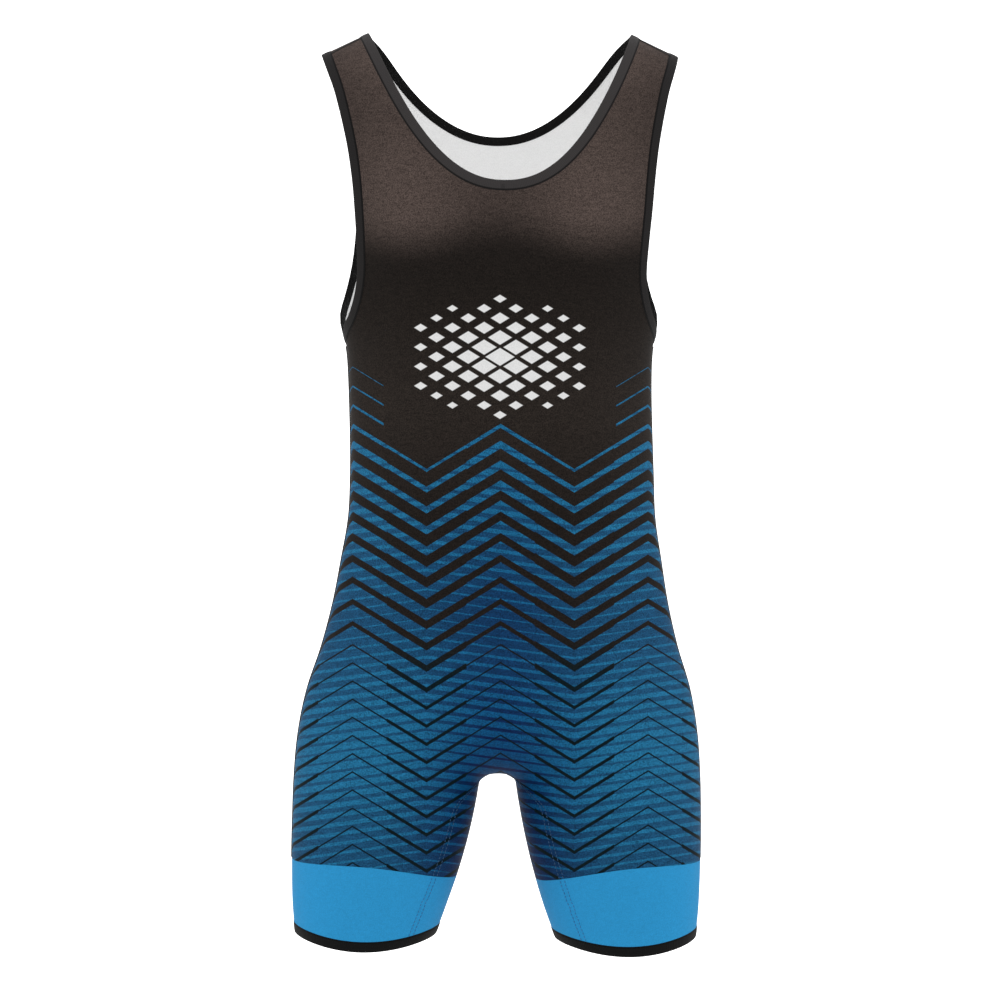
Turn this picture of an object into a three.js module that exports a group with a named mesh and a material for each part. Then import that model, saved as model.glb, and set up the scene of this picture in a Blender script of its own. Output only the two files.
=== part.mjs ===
// Wrestling singlet in its worn form, with no wearer: a one-piece stretch garment, open at the
// neck, at both armholes and at both legs. Millimetres, +Z up, the front faces -Y, and +X is the
// wearer's left. The origin is between the two shoulder straps, where the wearer holds it up.
import * as THREE from 'three';
import { mergeVertices } from 'three/addons/utils/BufferGeometryUtils.js';

// Driving dimensions.
const CLOTH = 1.4; // wall of the knitted panels
const SEAM_GAP = 0.3; // between two pieces along a seam
const BINDING = { width: 8.6, raise: 0.7, chamfer: 1.7 }; // strip round the neck and armholes
const HEM_BINDING = { width: 8.8, raise: 0.7, chamfer: 1.7 }; // elastic strip round each leg
const SHOULDER = { x: 122.4, z: 11, slope: 0.47, round: 95 }; // top line of the straps, and its roll
const SHOULDER_SEAM_FORWARD = 17; // the seam lies this far in front of the strap's crest
const NECK_HALF = 122.4; // of the neck opening at the straps' crests
const NECK_FRONT = { z: -136, half: 122.4, power: 0.45, sweep: 1 };
const NECK_BACK = { z: -72.6, half: 114.5, power: 0.48, sweep: 12 };
const CROTCH_Z = -678.5;
// Gap between the legs, and how far below the crotch its line is worked out.
const ARCH = { half: 15.8, corner: 9, spread: 0.13, flare: 0.0009, reach: 190 };
const ROUNDING = 2.3; // power of the rounding of every section, 2 is an ellipse
const INSEAM = { forward: 64, within: 30 }; // along the cloth from the inner thigh, and its run-in
const BAND_TOP = { innerZ: -774.2, outerZ: -757, frontBow: 8.8, backBow: 0 }; // top of the leg bands
const HEM = { innerZ: -829, outerZ: -827, frontBow: -9, backBow: 3 }; // lower edge of each leg
const LEG_DROP = { fall: 2.8, within: 120 }; // the left hem hangs lower, and the right higher

// Finishes: printed knit, plain knit of the leg bands, folded binding and hem elastic.
const PRINTED = { color: '#2e2927', roughness: 0.65, metalness: 0 };
const PLAIN = { color: '#2b87ba', roughness: 0.65, metalness: 0 };
const BOUND = { color: '#262727', roughness: 0.75, metalness: 0 };
const ELASTIC = { color: '#121313', roughness: 0.8, metalness: 0 };

// Sections of the body form, from above the shoulders to below the hem: half width, depth to the
// front and to the back, the share of the half width over which the side rounds, and the distance
// over which the cloth rounds towards the crotch and the inner leg.
const BODY = [
  { z: 40, side: 214, front: 60, back: 60, roll: 1, inner: 88 },
  { z: 0, side: 210, front: 68, back: 68, roll: 1, inner: 88 },
  { z: -50, side: 205, front: 78, back: 80, roll: 1, inner: 88 },
  { z: -100, side: 194, front: 88, back: 91, roll: 1, inner: 88 },
  { z: -150, side: 180, front: 95, back: 97, roll: 1, inner: 88 },
  { z: -200, side: 165.5, front: 98, back: 98, roll: 1, inner: 88 },
  { z: -235, side: 158, front: 96.5, back: 95, roll: 1, inner: 88 },
  { z: -255, side: 151.5, front: 94, back: 92, roll: 1, inner: 88 },
  { z: -270, side: 145.6, front: 92, back: 90, roll: 1, inner: 88 },
  { z: -285, side: 142.4, front: 90, back: 87.5, roll: 1, inner: 88 },
  { z: -310, side: 141, front: 87.5, back: 84, roll: 1, inner: 88 },
  { z: -350, side: 140.6, front: 84.5, back: 79, roll: 1, inner: 88 },
  { z: -400, side: 141.2, front: 82.5, back: 76, roll: 1, inner: 88 },
  { z: -440, side: 142.9, front: 83, back: 78, roll: 1, inner: 88 },
  { z: -480, side: 149.2, front: 85, back: 86, roll: 1, inner: 88 },
  { z: -520, side: 156.2, front: 87.5, back: 96, roll: 0.99, inner: 88 },
  { z: -560, side: 166, front: 89.5, back: 105, roll: 0.94, inner: 88 },
  { z: -600, side: 178.6, front: 91, back: 110, roll: 0.83, inner: 88 },
  { z: -640, side: 186, front: 91, back: 109, roll: 0.68, inner: 88 },
  { z: -680, side: 189.2, front: 89, back: 103, roll: 0.54, inner: 87 },
  { z: -720, side: 190.3, front: 85, back: 95, roll: 0.452, inner: 84 },
  { z: -760, side: 190.5, front: 79, back: 86, roll: 0.415, inner: 79 },
  { z: -800, side: 189.4, front: 72, back: 77, roll: 0.378, inner: 71.5 },
  { z: -830, side: 186.5, front: 67, back: 71, roll: 0.357, inner: 66.5 },
  { z: -860, side: 183, front: 63, back: 67, roll: 0.345, inner: 63 },
];

// Stance: how far the middle of the garment stands to the left at a height.
const STANCE = [
  { z: -860, shift: -4.2 },
  { z: -800, shift: -3.9 },
  { z: -720, shift: -2.8 },
  { z: -640, shift: -1.9 },
  { z: -560, shift: -0.4 },
  { z: -480, shift: 1.2 },
  { z: -400, shift: 2 },
  { z: -310, shift: 0.2 },
  { z: -235, shift: -0.2 },
  { z: -150, shift: 1.4 },
  { z: -60, shift: 0.4 },
  { z: 40, shift: -0.4 },
];

// Opening edge of the left armhole, seen from the front: up the front and up the back.
const ARMHOLE_FRONT = [
  { x: 144.2, z: -261 },
  { x: 139.6, z: -252.5 },
  { x: 134.6, z: -237 },
  { x: 132.2, z: -218 },
  { x: 133.2, z: -192 },
  { x: 135.3, z: -165 },
  { x: 138.4, z: -130 },
  { x: 143.2, z: -96 },
  { x: 149.3, z: -67 },
  { x: 156.3, z: -41 },
];
const ARMHOLE_BACK = [
  { x: 149.6, z: -251 },
  { x: 145.4, z: -228 },
  { x: 139.6, z: -196 },
  { x: 137, z: -150 },
  { x: 140.5, z: -100 },
  { x: 149, z: -55 },
];
const UNDERARM_Z = -268.5;
const ARMHOLE_TOP_X = 166.3;
const UNDERARM = { below: -200, length: 60 }; // height and run within which the armhole turns
const STRAP_TOP_ABOVE = -70; // of the straps, only their tops reach past this height

// Mesh fineness: columns of a half panel, and rows of each stretch of it, from the bands up.
const COLUMNS = 13;
const ROWS = { band: 3, leg: 6, body: 21, chest: 4, strap: 14, crest: 2 };
const CROTCH_ROW_Z = -668; // height at the side of the row that meets the crotch
const CHEST_ROW_Z = { front: -222, back: -200 }; // height at the middle of the underarm row
const NECK_ROW_Z = { front: -192, back: -128 }; // height at the armhole of the row under the neck
const FINE = 360; // steps of a curve before it is spread evenly
const ARCH_STEPS = 60; // of the line of the gap between the legs
const OFFSET_STEPS = 4; // in which a line is moved sideways
const SETTLE_STEPS = 6; // in which a point finds the cloth
const PROBE = 0.02; // distance over which a slope is measured
const MERGE = 1e-4; // points nearer than this are one

const FRONT = -1;
const BACK = 1;
const { clamp, lerp } = THREE.MathUtils;

// Smooth curve through the rows of a table: the value of one column at any height.
function column(table, key) {
  const slope = table.map((row, i) => {
    const a = table[Math.max(i - 1, 0)];
    const b = table[Math.min(i + 1, table.length - 1)];
    return (b[key] - a[key]) / (b.z - a.z);
  });
  const rising = table[0].z < table[1].z;
  return (z) => {
    let i = 0;
    while (i < table.length - 2 && (rising ? z > table[i + 1].z : z < table[i + 1].z)) i += 1;
    const [a, b] = [table[i], table[i + 1]];
    const span = b.z - a.z;
    const t = clamp((z - a.z) / span, 0, 1);
    const [t2, t3] = [t * t, t * t * t];
    return (2 * t3 - 3 * t2 + 1) * a[key] + (t3 - 2 * t2 + t) * span * slope[i]
      + (3 * t2 - 2 * t3) * b[key] + (t3 - t2) * span * slope[i + 1];
  };
}

const halfWidth = column(BODY, 'side');
const frontDepth = column(BODY, 'front');
const backDepth = column(BODY, 'back');
const sideRoll = column(BODY, 'roll');
const innerRound = column(BODY, 'inner');
const stanceShift = column(STANCE, 'shift');
const depthOf = (z, face) => (face === FRONT ? frontDepth(z) : backDepth(z));

// Half the gap between the legs at a height: nothing at the crotch, then a rounded corner.
function halfGap(z) {
  const down = Math.max(CROTCH_Z - z, 0);
  const corner = 1 - (1 - Math.min(down / ARCH.corner, 1)) ** 2;
  return ARCH.half * corner ** 0.4 + ARCH.spread * down + ARCH.flare * down * down;
}

// The arch between the legs as points, closer together at its rounded top.
const archLine = Array.from({ length: ARCH_STEPS + 1 }, (_, i) => {
  const z = CROTCH_Z - ARCH.reach * (i / ARCH_STEPS) ** 3;
  return new THREE.Vector2(halfGap(z), z);
});

// Distance in the front view from the arch, negative inside the gap.
function fromArch(x, z) {
  const point = new THREE.Vector2(Math.abs(x), z);
  const along = new THREE.Vector2();
  const foot = new THREE.Vector2();
  let nearest = Infinity;
  for (let i = 1; i < archLine.length; i += 1) {
    along.subVectors(archLine[i], archLine[i - 1]);
    const t = foot.subVectors(point, archLine[i - 1]).dot(along) / along.lengthSq();
    foot.copy(archLine[i - 1]).addScaledVector(along, clamp(t, 0, 1));
    nearest = Math.min(nearest, foot.distanceTo(point));
  }
  return z < CROTCH_Z && Math.abs(x) < halfGap(z) ? -nearest : nearest;
}

const topLine = (x) => SHOULDER.z - SHOULDER.slope * (Math.abs(x) - SHOULDER.x);

// How full the form is at a distance from its outline: 0 on the outline, 1 past the rounding.
const fullness = (distance, round) => 1 - Math.max(1 - distance / round, 0) ** ROUNDING;

// Share of the depth squared at a place of the front view, 0 on the outline.
function share(x, z) {
  const side = halfWidth(z);
  let full = fullness(side - Math.abs(x), side * sideRoll(z));
  full *= fullness(topLine(x) - z, SHOULDER.round);
  const round = innerRound(z);
  if (z < CROTCH_Z + round) full *= fullness(fromArch(x, z), round);
  return full;
}

// Point of the cloth's outer face at a place of the front view.
function surface(x, z, face) {
  return new THREE.Vector3(x, face * depthOf(z, face) * Math.sqrt(Math.max(share(x, z), 0)), z);
}

// Level function of the form, 0 on the cloth, and its gradient.
const level = (p) => (p.y / depthOf(p.z, p.y < 0 ? FRONT : BACK)) ** 2 - share(p.x, p.z);

function gradient(p) {
  const right = new THREE.Vector3(p.x + PROBE, p.y, p.z);
  const left = new THREE.Vector3(p.x - PROBE, p.y, p.z);
  const above = new THREE.Vector3(p.x, p.y, p.z + PROBE);
  const below = new THREE.Vector3(p.x, p.y, p.z - PROBE);
  const depth = depthOf(p.z, p.y < 0 ? FRONT : BACK);
  const alongX = (level(right) - level(left)) / (2 * PROBE);
  const alongZ = (level(above) - level(below)) / (2 * PROBE);
  return new THREE.Vector3(alongX, (2 * p.y) / depth ** 2, alongZ);
}

const outward = (p) => gradient(p).normalize();

// Nearest point of the cloth, by a few Newton steps.
function settle(p) {
  const q = p.clone();
  for (let i = 0; i < SETTLE_STEPS; i += 1) {
    const slope = gradient(q);
    q.addScaledVector(slope, -level(q) / slope.lengthSq());
  }
  return q;
}

// A line of points on the cloth with its running length.
class Run {
  constructor(points) {
    this.points = points;
    this.lengths = [0];
    for (let i = 1; i < points.length; i += 1) {
      this.lengths.push(this.lengths[i - 1] + points[i].distanceTo(points[i - 1]));
    }
    this.total = this.lengths[points.length - 1];
  }

  // Fractional index of the point at a distance along the line.
  index(distance) {
    let i = this.lengths.findIndex((length) => length > distance);
    if (i < 0) i = this.points.length - 1;
    i = Math.max(i, 1);
    const [before, after] = [this.lengths[i - 1], this.lengths[i]];
    return i - 1 + clamp((distance - before) / (after - before), 0, 1);
  }

  // Distance along the line at which a measure of the point first rises past zero.
  where(measure, after = 0) {
    const i = this.points.findIndex((p, k) => this.lengths[k] > after && measure(p) > 0);
    const [before, beyond] = [measure(this.points[i - 1]), measure(this.points[i])];
    return lerp(this.lengths[i - 1], this.lengths[i], clamp(before / (before - beyond), 0, 1));
  }

  // Indexes of points at even steps between two distances.
  spread(from, to, steps) {
    return Array.from({ length: steps + 1 }, (_, k) => this.index(lerp(from, to, k / steps)));
  }
}

function pointAt(points, index) {
  const i = Math.min(Math.floor(index), points.length - 2);
  return points[i].clone().lerp(points[i + 1], index - i);
}

const fine = (place) => Array.from({ length: FINE + 1 }, (_, i) => place(i / FINE));

const mirrored = (p) => new THREE.Vector3(-p.x, p.y, p.z);

// A line moved sideways on the cloth, away from the opening. A loop repeats its first point, and
// any other line goes on across the middle plane as its mirror image.
function offsetOnCloth(line, distance, away, isLoop) {
  const last = line.length - 1;
  const beforeFirst = isLoop ? line[last - 1] : mirrored(line[1]);
  const afterLast = isLoop ? line[1] : mirrored(line[last - 1]);
  return line.map((p, i) => {
    const before = i > 0 ? line[i - 1] : beforeFirst;
    const after = i < last ? line[i + 1] : afterLast;
    const along = after.clone().sub(before).normalize();
    const q = p.clone();
    for (let k = 0; k < OFFSET_STEPS; k += 1) {
      const across = along.clone().cross(outward(q)).normalize().multiplyScalar(away);
      q.copy(settle(q.addScaledVector(across, distance / OFFSET_STEPS)));
    }
    return q;
  });
}

// Neck edge of the left half, from the centre front over the shoulder to the centre back. Behind
// the crest of the strap it sweeps in to the back's own half width.
function neckEdge() {
  const half = (neck, face) => fine((t) => {
    const height = 1 - (1 - t * t) ** 2; // close together at both ends
    const x = lerp(neck.half, NECK_HALF, height ** neck.sweep) * height ** neck.power;
    const z = lerp(neck.z, SHOULDER.z, height);
    return settle(surface(x, Math.min(z, topLine(x)), face));
  });
  const back = half(NECK_BACK, BACK).reverse();
  return half(NECK_FRONT, FRONT).concat(back.slice(1));
}

// Armhole edge of the left half, from the underarm up the front, over and down the back.
function armholeEdge() {
  const underarm = new THREE.Vector3(halfWidth(UNDERARM_Z), 0, UNDERARM_Z);
  const crest = new THREE.Vector3(ARMHOLE_TOP_X, 0, topLine(ARMHOLE_TOP_X));
  const front = ARMHOLE_FRONT.map(({ x, z }) => surface(x, z, FRONT));
  const back = ARMHOLE_BACK.map(({ x, z }) => surface(x, z, BACK)).reverse();
  const places = [underarm, ...front, crest, ...back];
  const loop = new THREE.CatmullRomCurve3(places, true, 'centripetal');
  return loop.getPoints(2 * FINE).map(settle);
}

// The lines of a bound opening: its edge, the groove of the binding, and where the panel stops.
function boundOpening(edge, away, isLoop) {
  const groove = offsetOnCloth(edge, BINDING.width, away, isLoop);
  const panel = offsetOnCloth(edge, BINDING.width + SEAM_GAP, away, isLoop);
  return { edge, groove, panel, run: new Run(panel) };
}

// A looped opening whose lines start where the panel's line passes forward under the arm.
function startUnderarm(opening) {
  const { panel } = opening;
  const turnsForward = (p, i) => i > 0 && p.z < UNDERARM.below && p.y <= 0 && panel[i - 1].y > 0;
  const start = panel.findIndex(turnsForward);
  const turned = (line) => [...line.slice(start, -1), ...line.slice(0, start + 1)];
  const moved = turned(panel);
  return { edge: turned(opening.edge), groove: turned(opening.groove), panel: moved, run: new Run(moved) };
}

const GAP = SEAM_GAP / 2;
const neck = boundOpening(neckEdge(), 1, false);
const armhole = startUnderarm(boundOpening(armholeEdge(), -1, true));
const shoulderSeam = (p) => (p.z > STRAP_TOP_ABOVE ? p.y + SHOULDER_SEAM_FORWARD : -1);
const crestLine = (p) => (p.z > STRAP_TOP_ABOVE ? p.y : -1);
const neckSeam = neck.run.where(shoulderSeam);
const neckCrest = neck.run.where(crestLine);
const armSeam = armhole.run.where(shoulderSeam, UNDERARM.length);
const armCrest = armhole.run.where(crestLine, UNDERARM.length);
const armFrontTop = armhole.run.where((p) => p.z - NECK_ROW_Z.front, UNDERARM.length);
const armBackTop = armhole.run.where((p) => NECK_ROW_Z.back - p.z, armCrest);

// Stations of the two bound openings, where the rows of the panels end.
const stations = {
  neckFront: neck.run.spread(0, neckSeam - GAP, ROWS.strap),
  neckCrest: neck.run.spread(neckSeam + GAP, neckCrest, ROWS.crest),
  neckBack: neck.run.spread(neckCrest, neck.run.total, ROWS.strap),
  armFrontChest: armhole.run.spread(GAP, armFrontTop, ROWS.chest),
  armFront: armhole.run.spread(armFrontTop, armSeam - GAP, ROWS.strap),
  armCrest: armhole.run.spread(armSeam + GAP, armCrest, ROWS.crest),
  armBack: armhole.run.spread(armCrest, armBackTop, ROWS.strap),
  armBackChest: armhole.run.spread(armBackTop, armhole.run.total - GAP, ROWS.chest),
};

// A row of a panel: points at even steps along a line that is straight in the front view.
function straightRow(a, b, face, endGap) {
  const line = new Run(fine((t) => {
    const eased = (1 - Math.cos(Math.PI * t)) / 2;
    return surface(lerp(a.x, b.x, eased), lerp(a.z, b.z, eased), face);
  }));
  const indexes = line.spread(0, line.total - endGap, COLUMNS);
  const row = indexes.map((index) => pointAt(line.points, index));
  row[0].copy(a);
  return row;
}

// Places round a leg: -PI at the side seam, through the front, 0 at the inner leg, to PI behind.
function legPlace(edge, angle) {
  const face = angle < 0 ? FRONT : BACK;
  const across = (1 - Math.cos(angle)) / 2;
  const bow = face === FRONT ? edge.frontBow : edge.backBow;
  const z = lerp(edge.innerZ, edge.outerZ, across) + bow * Math.sin(Math.PI * across);
  return surface(lerp(halfGap(edge.innerZ), halfWidth(edge.outerZ), across), z, face);
}

const legAngle = (t) => Math.PI * (2 * t - 1);

// Angles of the stations of one face round a leg, from the inseam to the side seam.
function legAngles(edge, face, gap) {
  const run = new Run(fine((t) => legPlace(edge, legAngle(t))));
  const down = clamp((CROTCH_Z - edge.innerZ) / INSEAM.within, 0, 1);
  const inseam = run.lengths[FINE / 2] - INSEAM.forward * (1 - (1 - down) ** 2);
  const indexes = face === FRONT
    ? run.spread(inseam - gap, gap, COLUMNS)
    : run.spread(inseam + gap, run.total - gap, COLUMNS);
  return indexes.map((index) => legAngle(index / FINE));
}

const legRow = (edge, face) => legAngles(edge, face, GAP).map((angle) => legPlace(edge, angle));
const movedUp = (edge, by) => ({ ...edge, innerZ: edge.innerZ + by, outerZ: edge.outerZ + by });
const mixed = (a, b, t) => ({
  innerZ: lerp(a.innerZ, b.innerZ, t),
  outerZ: lerp(a.outerZ, b.outerZ, t),
  frontBow: lerp(a.frontBow, b.frontBow, t),
  backBow: lerp(a.backBow, b.backBow, t),
});

// Rows of the legs above the bands, closer together at their inner ends as the crotch nears.
function legRows(face) {
  const bottom = movedUp(BAND_TOP, GAP);
  return Array.from({ length: ROWS.leg }, (_, k) => {
    const t = k / ROWS.leg;
    const top = { innerZ: CROTCH_Z, outerZ: CROTCH_ROW_Z, frontBow: 0, backBow: 0 };
    const innerZ = lerp(CROTCH_Z, bottom.innerZ, (1 - t) ** 2);
    return legRow({ ...mixed(bottom, top, t), innerZ }, face);
  });
}

// Rows from the crotch to the underarm, then to the bottom of the neck.
function bodyRows(face) {
  const side = face === FRONT ? 'front' : 'back';
  const arm = face === FRONT ? stations.armFrontChest : [...stations.armBackChest].reverse();
  const underarm = pointAt(armhole.panel, arm[0]);
  const centre = new Run(fine((t) => surface(0, lerp(CROTCH_Z, CHEST_ROW_Z[side], t * t), face)));
  const body = centre.spread(GAP, centre.total, ROWS.body).map((index, k) => {
    const inner = k === 0 ? new THREE.Vector3(0, face * GAP, CROTCH_Z) : pointAt(centre.points, index);
    const z = lerp(CROTCH_ROW_Z, underarm.z, k / ROWS.body);
    return straightRow(inner, new THREE.Vector3(halfWidth(z), 0, z), face, GAP);
  });
  const neckBottom = face === FRONT ? neck.panel[0] : neck.panel[neck.panel.length - 1];
  const chest = arm.map((station, k) => {
    const inner = surface(0, lerp(CHEST_ROW_Z[side], neckBottom.z, k / ROWS.chest), face);
    return straightRow(inner, pointAt(armhole.panel, station), face, 0);
  });
  return [...body.slice(0, -1), ...chest.slice(0, -1)];
}

// Rows across the strap, between stations of the neck and of the armhole.
function strapRows(neckStations, armStations, face) {
  return neckStations.map((station, k) => {
    const outer = pointAt(armhole.panel, armStations[k]);
    const row = straightRow(pointAt(neck.panel, station), outer, face, 0);
    row[COLUMNS].copy(outer);
    return row;
  });
}

// Rows of a panel's left half, from the leg band to the shoulder seam, inner end first.
function panelRows(face) {
  const lower = [...legRows(face), ...bodyRows(face)];
  if (face === FRONT) return [...lower, ...strapRows(stations.neckFront, stations.armFront, FRONT)];
  const upward = (list) => [...list].reverse();
  return [
    ...lower,
    ...strapRows(upward(stations.neckBack), upward(stations.armBack), BACK),
    ...strapRows(upward(stations.neckCrest), upward(stations.armCrest), FRONT).slice(1),
  ];
}

// The quadrilaterals between rows of points.
function quadsOf(rows) {
  const quads = [];
  for (let r = 1; r < rows.length; r += 1) {
    for (let c = 1; c < rows[r].length; c += 1) {
      quads.push([rows[r - 1][c - 1], rows[r - 1][c], rows[r][c], rows[r][c - 1]]);
    }
  }
  return quads;
}

const mirroredQuads = (quads) => quads.map((quad) => quad.map(mirrored).reverse());

// Stance of the whole garment.
function stand(p) {
  const leg = clamp((CROTCH_Z - p.z) / LEG_DROP.within, 0, 1);
  const fall = Math.sign(p.x) * LEG_DROP.fall * leg * leg;
  return new THREE.Vector3(p.x + stanceShift(p.z), p.y, p.z - fall);
}

// Closed solid from triangles given as points, turned so that its faces look outward.
function solid(name, finish, triangles) {
  const stood = triangles.map((triangle) => triangle.map(stand));
  const volume = stood.reduce((sum, [a, b, c]) => sum + a.dot(b.clone().cross(c)) / 6, 0);
  const corners = stood.flatMap((triangle) => (volume < 0 ? [...triangle].reverse() : triangle));
  const geometry = new THREE.BufferGeometry().setFromPoints(corners);
  const mesh = new THREE.Mesh(mergeVertices(geometry, MERGE), new THREE.MeshStandardMaterial(finish));
  mesh.name = name;
  return mesh;
}

// Cloth of an even thickness under the quadrilaterals of its outer face.
function cloth(name, finish, quads) {
  const outer = [];
  const places = new Map();
  const place = (p) => {
    const key = p.toArray().map((value) => Math.round(value / MERGE)).join();
    if (!places.has(key)) {
      places.set(key, outer.length);
      outer.push(p);
    }
    return places.get(key);
  };
  const faces = quads.map((quad) => quad.map(place));
  const inner = outer.map((p) => p.clone().addScaledVector(outward(p), -CLOTH));
  const triangles = [];
  const edges = new Set();
  faces.forEach(([a, b, c, d]) => {
    const split = outer[a].distanceTo(outer[c]) < outer[b].distanceTo(outer[d]);
    const halves = split ? [[a, b, c], [a, c, d]] : [[a, b, d], [b, c, d]];
    halves.forEach(([i, j, k]) => {
      triangles.push([outer[i], outer[j], outer[k]], [inner[k], inner[j], inner[i]]);
    });
    [[a, b], [b, c], [c, d], [d, a]].forEach(([i, j]) => edges.add(`${i} ${j}`));
  });
  edges.forEach((edge) => {
    const [i, j] = edge.split(' ').map(Number);
    if (edges.has(`${j} ${i}`)) return;
    triangles.push([outer[j], outer[i], inner[i]], [outer[j], inner[i], inner[j]]);
  });
  return solid(name, finish, triangles);
}

// A bound edge: a strip with chamfered corners along pairs of points, groove first, in a ring.
function bindingRing(name, finish, pairs, { width, raise, chamfer }) {
  const corner = chamfer / 2;
  const top = raise;
  const bottom = -CLOTH - raise;
  const inset = chamfer / width;
  const section = [
    [0, top - corner],
    [inset, top],
    [1 - inset, top],
    [1, top - corner],
    [1, bottom + corner],
    [1 - inset, bottom],
    [inset, bottom],
    [0, bottom + corner],
  ];
  const rings = pairs.map(([groove, edge]) => section.map(([across, height]) => {
    const normal = outward(groove).lerp(outward(edge), across).normalize();
    return groove.clone().lerp(edge, across).addScaledVector(normal, height);
  }));
  const triangles = [];
  rings.forEach((ring, i) => {
    const next = rings[(i + 1) % rings.length];
    ring.forEach((p, k) => {
      const beside = (k + 1) % ring.length;
      triangles.push([p, ring[beside], next[beside]], [p, next[beside], next[k]]);
    });
  });
  return solid(name, finish, triangles);
}

const pairAt = (opening) => (index) => [pointAt(opening.groove, index), pointAt(opening.edge, index)];
const mirroredPair = (pair) => pair.map(mirrored);

function neckPairs() {
  const half = [...stations.neckFront.slice(0, -1), ...stations.neckCrest, ...stations.neckBack.slice(1)];
  const left = half.map(pairAt(neck));
  return [...left, ...left.slice(1, -1).map(mirroredPair).reverse()];
}

function armholePairs() {
  const loop = [
    ...stations.armFrontChest.slice(0, -1),
    ...stations.armFront.slice(0, -1),
    ...stations.armCrest,
    ...stations.armBack.slice(1),
    ...stations.armBackChest.slice(1, -1),
  ];
  return loop.map(pairAt(armhole));
}

// Stations round the hem, at the same angles as the lower edge of the bands.
function hemPairs() {
  const groove = movedUp(HEM, HEM_BINDING.width);
  const front = legAngles(groove, FRONT, 0).reverse();
  const back = legAngles(groove, BACK, 0);
  const loop = [...front, ...back.slice(1, -1)];
  return loop.map((angle) => [legPlace(groove, angle), legPlace(HEM, angle)]);
}

// Rows of a leg band, from its lower edge up.
function bandRows(face) {
  const lower = movedUp(HEM, HEM_BINDING.width + SEAM_GAP);
  const upper = movedUp(BAND_TOP, -GAP);
  const lowerAngles = legAngles(movedUp(HEM, HEM_BINDING.width), face, GAP);
  const upperAngles = legAngles(upper, face, GAP);
  return Array.from({ length: ROWS.band + 1 }, (_, k) => {
    const t = k / ROWS.band;
    return lowerAngles.map((angle, c) => legPlace(mixed(lower, upper, t), lerp(angle, upperAngles[c], t)));
  });
}

const singlet = new THREE.Group();
singlet.name = 'wrestling_singlet';
const frontHalf = quadsOf(panelRows(FRONT));
const backHalf = quadsOf(panelRows(BACK));
singlet.add(cloth('front_panel', PRINTED, [...frontHalf, ...mirroredQuads(frontHalf)]));
singlet.add(cloth('back_panel', PRINTED, [...backHalf, ...mirroredQuads(backHalf)]));
[['front', FRONT], ['back', BACK]].forEach(([name, face]) => {
  const band = quadsOf(bandRows(face));
  singlet.add(cloth(`band_${name}_left`, PLAIN, band));
  singlet.add(cloth(`band_${name}_right`, PLAIN, mirroredQuads(band)));
});
const [armholeLeft, hemLeft] = [armholePairs(), hemPairs()];
const [armholeRight, hemRight] = [armholeLeft.map(mirroredPair), hemLeft.map(mirroredPair)];
singlet.add(bindingRing('neck_binding', BOUND, neckPairs(), BINDING));
singlet.add(bindingRing('armhole_binding_left', BOUND, armholeLeft, BINDING));
singlet.add(bindingRing('armhole_binding_right', BOUND, armholeRight, BINDING));
singlet.add(bindingRing('hem_binding_left', ELASTIC, hemLeft, HEM_BINDING));
singlet.add(bindingRing('hem_binding_right', ELASTIC, hemRight, HEM_BINDING));

export default singlet;
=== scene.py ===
"""A wrestling singlet in its worn form, with nobody in it: printed stretch knit, bound edges and leg bands.

Lengths are in millimetres until a mesh is made, and in metres after that. The front faces -Y, +Z is up and
+X is the wearer's left. The origin is between the shoulder straps.
"""

import logging
import math
from dataclasses import dataclass, field, replace
from enum import Enum
from typing import Callable, Sequence

import bpy
import numpy as np
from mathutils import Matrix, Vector


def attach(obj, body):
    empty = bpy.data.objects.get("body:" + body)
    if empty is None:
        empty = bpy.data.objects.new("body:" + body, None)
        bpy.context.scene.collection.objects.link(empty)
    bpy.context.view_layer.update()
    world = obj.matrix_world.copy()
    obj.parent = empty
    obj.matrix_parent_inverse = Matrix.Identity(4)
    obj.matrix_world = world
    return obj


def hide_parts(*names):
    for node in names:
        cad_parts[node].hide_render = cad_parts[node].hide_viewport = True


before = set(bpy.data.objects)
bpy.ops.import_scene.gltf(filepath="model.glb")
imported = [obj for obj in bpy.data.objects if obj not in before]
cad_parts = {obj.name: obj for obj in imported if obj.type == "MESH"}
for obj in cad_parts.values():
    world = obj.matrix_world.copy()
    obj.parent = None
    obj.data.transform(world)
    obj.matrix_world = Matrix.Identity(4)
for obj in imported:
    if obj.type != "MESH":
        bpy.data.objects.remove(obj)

LOG = logging.getLogger("singlet")
MM = 0.001
SHARP_ANGLE = math.radians(50)
WHITE = "#ffffff"
CHEST = (0, 0, -0.35)
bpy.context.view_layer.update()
Array = np.ndarray
Quad = tuple[int, int, int, int]
Faces = list[tuple[int, ...]]
Inputs = dict[int | str, object]
Material = bpy.types.Material
Piece = bpy.types.Object
Socket = bpy.types.NodeSocket
Tree = bpy.types.NodeTree


class Face(Enum):
    """The side of the garment that a panel covers: the sign of its y."""

    FRONT = -1
    BACK = 1


@dataclass(frozen=True)
class Section:
    """One level section of the body form.

    side is the half width, front and back the depths, roll the share of the half width over which the side
    rounds, and inner the distance over which the cloth rounds towards the crotch and the inner leg.
    """

    z: float
    side: float
    front: float
    back: float
    roll: float = 1.0
    inner: float = 88.0


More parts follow.
